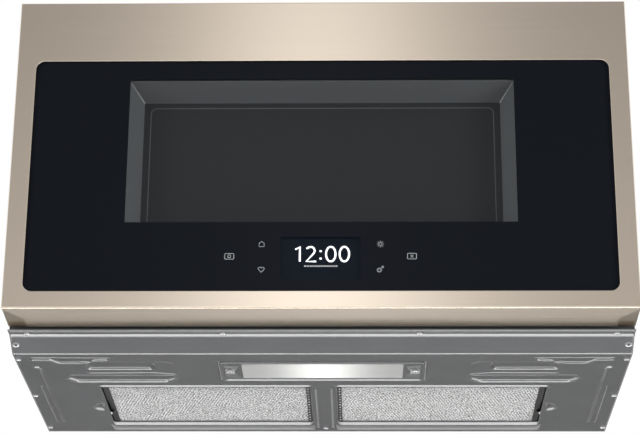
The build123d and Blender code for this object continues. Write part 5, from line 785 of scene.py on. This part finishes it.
def filter_look(side):
    """Frame, end, pull and mesh of one filter; side is 1 on the right and -1 on the left."""
    form = Form()
    x0, x1 = FRAME_X
    y0, y1 = FRAME_Y
    z0, z1 = FRAME_Z
    edge = FRAME_EDGE
    for left, right, front, back in ((x0, x1, y0, y0 + edge), (x0, x1, y1 - edge, y1),
                                     (x0, x0 + edge, y0 + edge, y1 - edge),
                                     (x1 - OUTER_EDGE, x1, y0 + edge, y1 - edge)):
        form.block(left, right, front, back, z0, z1)
    form.slot = 2
    filter_layer(form, 5 + side, pitch_x=3.0, pitch_y=2.6, z=1.9, width=0.9, wander=0.3)
    filter_layer(form, 15 + side, pitch_x=3.2, pitch_y=2.8, z=2.9, width=1.0, wander=0.3)
    form.block(x0 + edge, x1 - OUTER_EDGE, y0 + edge, y1 - edge, *MESH_BODY)
    # The mesh's cut inner end: a black strip, painted shade of the gap at the opening's edge, with the ends
    # of the strands in it
    for i in range(TOOTH_COUNT):
        y = TOOTH_START + TOOTH_PITCH * i
        form.block(*TOOTH_X, y, y + TOOTH_LENGTH, *TOOTH_Z)
    form.slot = 1
    form.block(*SEAM)
    middle = (y0 + y1) / 2
    inner, tip, half, drop = PULL
    form.block(x1 + inner, x1 + tip, middle - half, middle + half, z0 - drop, z0)
    # The black outer end, painted shade of the gap at the end of the opening, narrower beside the pan's
    # dimple so that the filter can slide
    narrow = [middle + y for y in NARROW_Y]
    for front, back, reach, z in ((y0 + END_INSET, narrow[0], END_X[1], END_Z),
                                  (*narrow, NARROW_REACH, END_Z), (*narrow, END_X[1], NARROW_BACK_Z),
                                  (narrow[1], y1 - END_INSET, END_X[1], END_Z)):
        form.block(x1 + END_X[0], x1 + reach, front, back, z, z + END_SHEET)
    form.points = [(side * x, y, z) for x, y, z in form.points]
    name = "right" if side > 0 else "left"
    if side < 0:
        form.faces = [tuple(reversed(face)) for face in form.faces]
    form.piece("grease_filter_%s_look" % name, "filter_" + name, filter_metal, pull_and_shade_black, mesh_painted_light,
               replaced=["grease_filter_" + name])


filter_look(1)
filter_look(-1)

# ======== lamp cover
# The cover is a steel frame with rolled edges, painted like the base and fixed by one screw in a pressed
# dimple at each end. Above it stands a box of bright steel that throws the bulbs' light down.
dress(brush("lamp_box_steel", (0.7, 0.7, 0.69), stretch=(100.0, 100.0, 100.0), contrast=0.1), "lamp_housing")
COVER = (128.0, -295.0, -222.0, 8.0)  # half width, front, back and corner radius
COVER_EDGE = [(0, 1.0), (0, 0.0), (0.6, -0.9), (1.6, -1.2), (2.2, -1.1), (5.0, -0.15), (5.8, 0.0)]
LENS_HOLE = (100.5, -285.0, -232.0, 3.0)
LENS_HOLE_EDGE = [(-2.0, 0.0), (-0.9, 0.1), (-0.2, 0.5), (-0.2, 1.0)]
DIMPLE_RIM = (8.2, 7.1, 3.0)  # half width, half length and corner radius
DIMPLE_FLOOR = (5.6, 4.9, 2.4)


def upright_ring(x0, x1, z0, z1, radius, y, steps=6):
    """Rounded rectangle that faces the front."""
    ring = []
    for cx, cz, start in ((x1 - radius, z1 - radius, 0), (x0 + radius, z1 - radius, 90),
                          (x0 + radius, z0 + radius, 180), (x1 - radius, z0 + radius, 270)):
        for i in range(steps + 1):
            angle = math.radians(start + 90 * i / steps)
            ring.append((cx + radius * math.cos(angle), y, cz + radius * math.sin(angle)))
    return ring


def flat_ring(half_x, y0, y1, radius, z, middle=0.0, steps=5):
    """Rounded rectangle that faces down."""
    return [(x + middle, y, z) for x, _, y in upright_ring(-half_x, half_x, y0, y1, radius, 0, steps)]


def inset_rings(size, profile):
    """The rectangle's rings, each moved inwards and set at a height."""
    half_x, y0, y1, radius = size
    return [flat_ring(half_x - inset, y0 + inset, y1 - inset, radius - inset, z) for inset, z in profile]


def weld(made, distance=0.00001):
    """Joins points that share a place, so that shading runs across the seams."""
    shape = bmesh.new()
    shape.from_mesh(made.data)
    bmesh.ops.remove_doubles(shape, verts=shape.verts, dist=distance)
    bmesh.ops.recalc_face_normals(shape, faces=shape.faces)
    shape.to_mesh(made.data)
    shape.free()


cover = Form()
edge_rings = inset_rings(COVER, COVER_EDGE)
lens_rings = inset_rings(LENS_HOLE, LENS_HOLE_EDGE)
dimples = []
for side in (-1, 1):
    rim, sunk = [flat_ring(half_x, COVER_SCREW[1] - half_y, COVER_SCREW[1] + half_y, radius, z,
                           side * COVER_SCREW[0])
                 for (half_x, half_y, radius), z in ((DIMPLE_RIM, 0.0), (DIMPLE_FLOOR, COVER_SINK))]
    dimples.append(rim)
    cover.strip([rim, sunk])
    cover.fill([sunk], flip=True)
cover.strip(edge_rings)
cover.strip(lens_rings)
cover.fill([edge_rings[-1], lens_rings[0]] + dimples, flip=True)
lamp_cover = cover.piece("lamp_cover_look", "cabinet", grey_paint, smooth=50, replaced=["lamp_cover"])
weld(lamp_cover)

# ======== lens and bulbs
# The lens is a strip of frosted glass laid into the cover, with two small bulbs behind it. Its glow,
# brightest in the middle, is painted light: the bulbs themselves are unlit.
# Painted glow: emission that is brightest in the middle of the lens.
tree, given = effect_group("lens_painted_glow", glass=(0, 0, 0, 1), glow=(1, 1, 1, 1), spread=0.046)
x, _, _ = node(tree, "SeparateXYZ", {0: object_place(tree)}).outputs
glow = blend_colours(tree, bell(tree, x, given["spread"]), (0, 0, 0, 1), given["glow"])
results(tree, Base_Color=given["glass"], Emission_Color=glow)
dress(finish("frosted_lens", tree, glass=(0.50, 0.50, 0.49), glow=(0.66, 0.66, 0.64), Roughness=0.4,
             Emission_Strength=1.0), "lamp_lens")
dress(coat("lamp_bulbs", (0.85, 0.82, 0.74), second=0.95, roughness=0.2), "cooktop_lamps")

# ======== component bay
# The bay on the right holds the magnetron, the transformer and capacitor that feed it, the cooling fan and
# the circuit board. The latch, its switches' buttons, their bracket and the hinge bushings are moulded from
# white acetal and clipped or pressed in.
dress(brush("magnetron_plating", (0.62, 0.62, 0.62), stretch=(200.0, 200.0, 200.0), contrast=0.2),
      "magnetron")
dress(coat("varnished_core", (0.09, 0.06, 0.04), second=0.6, roughness=0.35, grain=400.0, depth=0.3),
      "hv_transformer")
dress(brush("capacitor_can", (0.66, 0.67, 0.68), stretch=(60.0, 60.0, 900.0),
            roughness=0.28), "hv_capacitor")
dress(coat("fan_plastic", (0.62, 0.62, 0.60), second=0.93, roughness=0.45), "fan_blade")
dress(coat("circuit_board", (0.03, 0.14, 0.07), second=0.7, grain=500.0, depth=0.2,
           patch=120.0), "power_board")
dress(coat("white_acetal", (0.70, 0.70, 0.70), second=0.95, roughness=0.38), "interlock_bracket",
      "latch_plate", "switch_button_primary", "switch_button_secondary", "switch_button_monitor",
      "hinge_bushings")

# ======== door body
# The door is a welded steel frame with a screwed back panel, both in dark primer. A plastic cover closes
# its choke groove and a pane its window. The skin lies on a plastic subframe, coloured dark brown as
# painted shade for the shaded bronze at the door's cut corners.
dress(coat("door_primer", (0.022, 0.020, 0.018), second=0.85, roughness=0.45, grain=700.0, depth=0.2),
      "door_frame", "door_back_panel")
dress(coat("choke_cover_plastic", (0.02, 0.02, 0.021), second=0.85, depth=0.3), "choke_cover")
dress(coat("inner_pane", (0.03, 0.03, 0.035), second=0.95, roughness=0.05, Alpha=0.35), "inner_glass")
dress(coat("subframe_painted_shade", (0.085, 0.068, 0.052), roughness=0.5), "door_subframe")

# ======== window
# Behind the front glass the window is a shallow tray: a frame of bevelled plastic, mitred in each corner,
# in front of a steel screen plate. The plate is punched with rows of small round holes and painted, and a
# raised bead runs just inside its edge. The holes are dark dots, painted shade of the oven behind them;
# a light line along each mitre and a flat light line for the bead are painted highlights.
SCREEN_PITCH = 0.0019  # metres from hole to hole
HOLE_EDGE = (0.38, 0.30)  # where a hole starts and is whole, as shares of the pitch from its middle
BEZEL_FRONT = (238.0, -411.2)  # half width and depth of the bevel's front edge
BEZEL_BACK = (222.5, -382.2)
BEZEL_MIDDLE = 231.75
BEZEL_HALF = (96.25, 80.75)  # half height at the front and at the back
MITRE_INSET = 0.3
MITRE_HALF = 0.4
BEAD_X = 214.0
BEAD_TOP = 305.0
BEAD_LOW = BEZEL_MIDDLE - BEZEL_HALF[1]
BEAD_CORNER = 7.0
BEAD_WIDTH = 1.1
BEAD_Y = -382.4
dress(coat("bezel_plastic", (0.088, 0.093, 0.097), second=0.92, roughness=0.42, grain=1500.0, depth=0.2,
           Specular_IOR_Level=0.35), "window_bezel")
# The holes are painted dark dots that stand for the shade of the oven seen through them.
tree, given = effect_group("punched_holes_painted_shade", paint=(0, 0, 0, 1), hole=(0, 0, 0, 1), pitch=SCREEN_PITCH)
x, _, z = node(tree, "SeparateXYZ", {0: object_place(tree)}).outputs
flat = node(tree, "CombineXYZ", {0: math_node(tree, "DIVIDE", x, given["pitch"]),
                                 1: math_node(tree, "DIVIDE", z, given["pitch"])})
holes = node(tree, "TexVoronoi", {"Vector": flat.outputs[0], "Scale": 1.0, "Randomness": 0.0},
             voronoi_dimensions="2D")
share = node(tree, "MapRange", {"Value": holes.outputs["Distance"], "From Min": HOLE_EDGE[0],
                                "From Max": HOLE_EDGE[1]}).outputs[0]
results(tree, Base_Color=blend_colours(tree, share, given["paint"], given["hole"]))
dress(finish("screen_paint_and_hole_shade", tree, paint=(0.0235, 0.0243, 0.0255), hole=(0.006, 0.006, 0.0065),
             Roughness=0.5, Specular_IOR_Level=0.25), "window_screen")


def drawn_line(form, path, width, y, closed=True):
    """Flat line of the given width along points in a plane that faces the front."""
    sides = []
    last = len(path) - 1
    for i, (x, z) in enumerate(path):
        before = path[i - 1] if closed or i else path[i]
        after = path[(i + 1) % len(path)] if closed or i < last else path[i]
        dx, dz = after[0] - before[0], after[1] - before[1]
        size = math.hypot(dx, dz)
        nx, nz = -dz / size * width / 2, dx / size * width / 2
        sides.append([(x + nx, y, z + nz), (x - nx, y, z - nz)])
    form.strip(sides + sides[:1] if closed else sides, closed=False)


# A light line along each mitre, from front to back, is a painted highlight.
mitres = Form()
for side in (-1, 1):
    for way in (-1, 1):
        ends = []
        for (x, y), half in zip((BEZEL_FRONT, BEZEL_BACK), BEZEL_HALF):
            corner = Vector((side * (x - MITRE_INSET), y, BEZEL_MIDDLE + way * (half - MITRE_INSET)))
            across = Vector((side * MITRE_HALF, 0, -way * MITRE_HALF))
            ends.append([corner + across, corner - across])
        mitres.strip(ends, closed=False)
mitres.piece("bezel_mitre_highlights", "door", coat("mitre_painted_highlight", (0.34, 0.345, 0.35)))
# The bead is a flat light line, a painted highlight in place of a raised one.
bead = Form()
bead_ring = upright_ring(-BEAD_X, BEAD_X, BEAD_LOW, BEAD_TOP, BEAD_CORNER, 0)
top_corners = [(x, z) for x, _, z in bead_ring[:len(bead_ring) // 2]]
drawn_line(bead, [(BEAD_X, BEAD_LOW)] + top_corners + [(-BEAD_X, BEAD_LOW)], BEAD_WIDTH, BEAD_Y, closed=False)
bead.piece("screen_bead_highlight", "door", coat("bead_painted_highlight", (0.085, 0.087, 0.09)))

# ======== display
# The display is a flat lit panel in a black plastic housing, glued behind the glass. It shows the hour in
# thin white figures and a row of dim dashes below.
dress(dark_plastic, "display_unit")
DISPLAY = (-48.0, 48.0, 63.0, 117.8)
DISPLAY_CORNER = 1.5
DISPLAY_FACE = -411.6
LIT_Y = -411.7
HOUR_STROKE = 2.2
HOUR_LOW = 87.6
HOUR_HEIGHT = 19.0
# Figures: x in millimetres, height as a share of the hour's height.
ONE = [(-30.4, 0.82), (-25.0, 1.0), (-25.0, 0.0)]
TWO = [(-17.0, 0.87), (-14.2, 0.97), (-11.2, 1.0), (-8.3, 0.91), (-7.0, 0.74), (-8.3, 0.55), (-17.2, 0.0),
       (-5.4, 0.0)]
ZEROS = (12.2, 28.5)
ZERO_HALF = 5.7
ZERO_SIDES = 28
COLON_HALF = 1.3
COLON_DOTS = (0.2, 0.7)
DASH_START = -18.5
DASH_PITCH = 3.4
DASH_COUNT = 12
DASH_HALF = 1.1
DASH_Z = (80.8, 82.5)
navy = coat("display_navy", (0.0020, 0.0036, 0.0070), second=0.97, roughness=0.5, Specular_IOR_Level=0.1)
lit_white = coat("lit_white", (0.9, 0.9, 0.9), second=1.0, roughness=0.5, Emission_Color=(1, 1, 1),
                 Emission_Strength=1.25)
lit_dim = coat("lit_dim", (0.4, 0.4, 0.4), second=1.0, roughness=0.5, Emission_Color=(1, 1, 1),
               Emission_Strength=0.35)
face = Form()
face.fill([upright_ring(*DISPLAY, DISPLAY_CORNER, DISPLAY_FACE)])
face.piece("display_face", "door", navy)
hour = Form()


def figure(path, closed=False):
    """One stroke of the hour."""
    drawn_line(hour, [(x, HOUR_LOW + share * HOUR_HEIGHT) for x, share in path], HOUR_STROKE, LIT_Y, closed)


def round_path(x, z, radius, count, height=None):
    """Points round a circle, or round an oval where a height is given."""
    turns = [2 * math.pi * i / count for i in range(count)]
    return [(x + radius * math.cos(turn), z + (height or radius) * math.sin(turn)) for turn in turns]


figure(ONE)
figure(TWO)
for x in ZEROS:
    figure(round_path(x, 0.5, ZERO_HALF, ZERO_SIDES, 0.5), closed=True)
for share in COLON_DOTS:
    figure([(-COLON_HALF, share), (COLON_HALF, share)])
hour.slot = 1
for i in range(DASH_COUNT):
    x = DASH_START + DASH_PITCH * i
    x0, x1 = x - DASH_HALF, x + DASH_HALF
    z0, z1 = DASH_Z
    hour.face(hour.add([(x0, LIT_Y, z0), (x1, LIT_Y, z0), (x1, LIT_Y, z1), (x0, LIT_Y, z1)]))
hour.piece("display_hour", "door", lit_white, lit_dim)

# ======== front glass
# The front is one sheet of toughened glass, printed black on its back and bonded to the door. The print
# leaves a tinted window in front of the oven and a clear patch in front of the display.
black_print = coat("black_print_glass", (0.0036, 0.0043, 0.0060), second=0.97, roughness=0.10,
                   Specular_IOR_Level=0.03)
window_tint = coat("tinted_window_glass", (0.0085, 0.0098, 0.0118), second=0.97, roughness=0.10, Alpha=0.30,
                   Specular_IOR_Level=0.03)
display_tint = coat("display_window_glass", (0.008, 0.010, 0.014), second=0.97, roughness=0.10, Alpha=0.25,
                    Specular_IOR_Level=0.03)
GLASS_FRONT = -415.5
GLASS_BACK = -411.5
GLASS_EDGE = (-362.0, 362.0, 41.5, 359.5)
GLASS_CORNER = 14.0
WINDOW = (-238.0, 238.0, 137.5, 329.5)
WINDOW_CORNER = 1.0
glass = Form()
outer = [upright_ring(*GLASS_EDGE, GLASS_CORNER, y) for y in (GLASS_FRONT, GLASS_BACK)]
windows = [[upright_ring(*edges, radius, y) for y in (GLASS_FRONT, GLASS_BACK)]
           for edges, radius in ((WINDOW, WINDOW_CORNER), (DISPLAY, DISPLAY_CORNER))]
glass.strip(outer)
glass.fill([outer[0], windows[0][0], windows[1][0]])
glass.fill([outer[1], windows[0][1], windows[1][1]], flip=True)
glass.slot = 1
glass.fill([windows[0][0]])
glass.slot = 2
glass.fill([windows[1][0]])
glass.piece("front_glass_look", "door", black_print, window_tint, display_tint, replaced=["front_glass"])

# ======== touch marks
# Six touch marks are printed on the glass in thin grey lines, three on each side of the display. They are
# generic signs: a ring and a cross in a pad, a house, a heart, a lamp and a pair of wheels.
MARK_Y = -415.6
MARK_W = 0.62
PAD_MARK = (109.6, 92.8, 5.4, 3.6, 0.8)  # place, half width, half height and corner radius
PAD_RING = 1.9
PAD_CROSS = 1.8
HOUSE = [(-74.0, 105.4), (-68.0, 105.4), (-68.0, 109.6), (-71.0, 112.0), (-74.0, 109.6)]
HEART = (-71.0, 76.1, 0.23)  # place and size
LAMP_MARK = (71.8, 108.4, 2.1)  # place and radius
LAMP_RAYS = (3.2, 4.4)
WHEEL_MARK = (70.4, 74.9, 2.0)
WHEEL_RAYS = (2.0, 3.3)
SMALL_WHEEL = (74.4, 78.9, 1.2)
marks = Form()


def mark(path, closed=True):
    """One printed line."""
    drawn_line(marks, path, MARK_W, MARK_Y, closed)


def rays(circle, inner, outer, count=8):
    """Short lines that stand out from a circle."""
    x, z, _ = circle
    for one, two in zip(round_path(x, z, inner, count), round_path(x, z, outer, count)):
        mark([one, two], closed=False)


pad_x, pad_z, half_x, half_z, radius = PAD_MARK
for x in (-pad_x, pad_x):
    pad = upright_ring(x - half_x, x + half_x, pad_z - half_z, pad_z + half_z, radius, 0, 3)
    mark([(px, pz) for px, _, pz in pad])
mark(round_path(-pad_x, pad_z, PAD_RING, 12))
for way in (-PAD_CROSS, PAD_CROSS):
    mark([(pad_x - PAD_CROSS, pad_z - way), (pad_x + PAD_CROSS, pad_z + way)], closed=False)
mark(HOUSE)
heart_x, heart_z, heart_size = HEART
heart = []
for i in range(24):
    turn = 2 * math.pi * i / 24
    height = 13 * math.cos(turn) - 5 * math.cos(2 * turn) - 2 * math.cos(3 * turn) - math.cos(4 * turn)
    heart.append((heart_x + heart_size * 16 * math.sin(turn) ** 3, heart_z + heart_size * height))
mark(heart)
mark(round_path(*LAMP_MARK, 12))
rays(LAMP_MARK, *LAMP_RAYS)
mark(round_path(*WHEEL_MARK, 12))
rays(WHEEL_MARK, *WHEEL_RAYS)
mark(round_path(*SMALL_WHEEL, 8))
marks.piece("touch_marks", "door", coat("printed_grey", (0.25, 0.26, 0.27), second=0.95, roughness=0.5))

# ======== door skin
# The door's skin is one sheet of bronze steel, brushed from side to side, with a bare top band. Its lower
# edge is rolled back under the door and cut away at the corners. The rolled edge has a darker, less
# metallic copy of the bronze, as painted shade of the underside; brown sheets in the cut corners are
# painted shade as well.
BRONZE = (0.70, 0.605, 0.505)
SHADED_ROLLED_BRONZE = (0.47, 0.405, 0.33)
BRUSHING = (3.0, 700.0, 1100.0)
dress(brush("brushed_bronze", BRONZE, stretch=BRUSHING, contrast=0.07, roughness=0.18, depth=0.01),
      "door_skin")
# The rolled edge: a darker, less metallic copy of the bronze, painted shade of the underside.
shaded_rolled_bronze = brush("rolled_edge_shaded_bronze", SHADED_ROLLED_BRONZE, stretch=BRUSHING, contrast=0.02, roughness=0.27,
                      depth=0.02, metallic=0.4)
RETURN_FRONT = (-416.8, 25.8)  # depth and height of the rolled edge in front and at its back
RETURN_BACK = (-362.4, 22.4)
RETURN_TOP = 26.2
RETURN_X = 379.4
CUT_FRONT = -414.6  # the corner's cut slopes inwards from here
CUT_X = 357.0
CUT_Y = -386.0
# Brown sheets in the cut corners, just above the rolled edge, are painted shade of the bronze there.
CORNER_SHEET = (355.0, 379.2, -416.0, -362.8)  # inner and outer side, front and back
CORNER_SHEET_LIFT = 0.5  # height of the liner above the rolled edge
right_half = [(CUT_X, RETURN_BACK[0]), (CUT_X, CUT_Y), (RETURN_X, CUT_FRONT), (RETURN_X, RETURN_FRONT[0])]
outline = [(-x, y) for x, y in reversed(right_half)] + right_half
skin_return = Form()


def return_height(y):
    """Height of the rolled edge, which rises a little towards the front."""
    share = (y - RETURN_FRONT[0]) / (RETURN_BACK[0] - RETURN_FRONT[0])
    return RETURN_FRONT[1] + share * (RETURN_BACK[1] - RETURN_FRONT[1])


under = [(x, y, return_height(y)) for x, y in outline]
skin_return.fill([under], flip=True)
skin_return.strip([under, [(x, y, RETURN_TOP) for x, y in outline]])
skin_return.piece("door_skin_return", "door", shaded_rolled_bronze)
corner_sheets = Form()
inner, outer, front, back = CORNER_SHEET
for side in (-1, 1):
    corner = [(side * x, y) for x, y in ((outer, front), (outer, back), (inner, back), (inner, CUT_Y))]
    corner_sheets.fill([[(x, y, return_height(y) + CORNER_SHEET_LIFT) for x, y in corner]], flip=side < 0)
corner_sheets.piece("corner_painted_shade_sheets", "door", coat("brown_corner_painted_shade", (0.150, 0.115, 0.078), second=0.8, roughness=0.5))
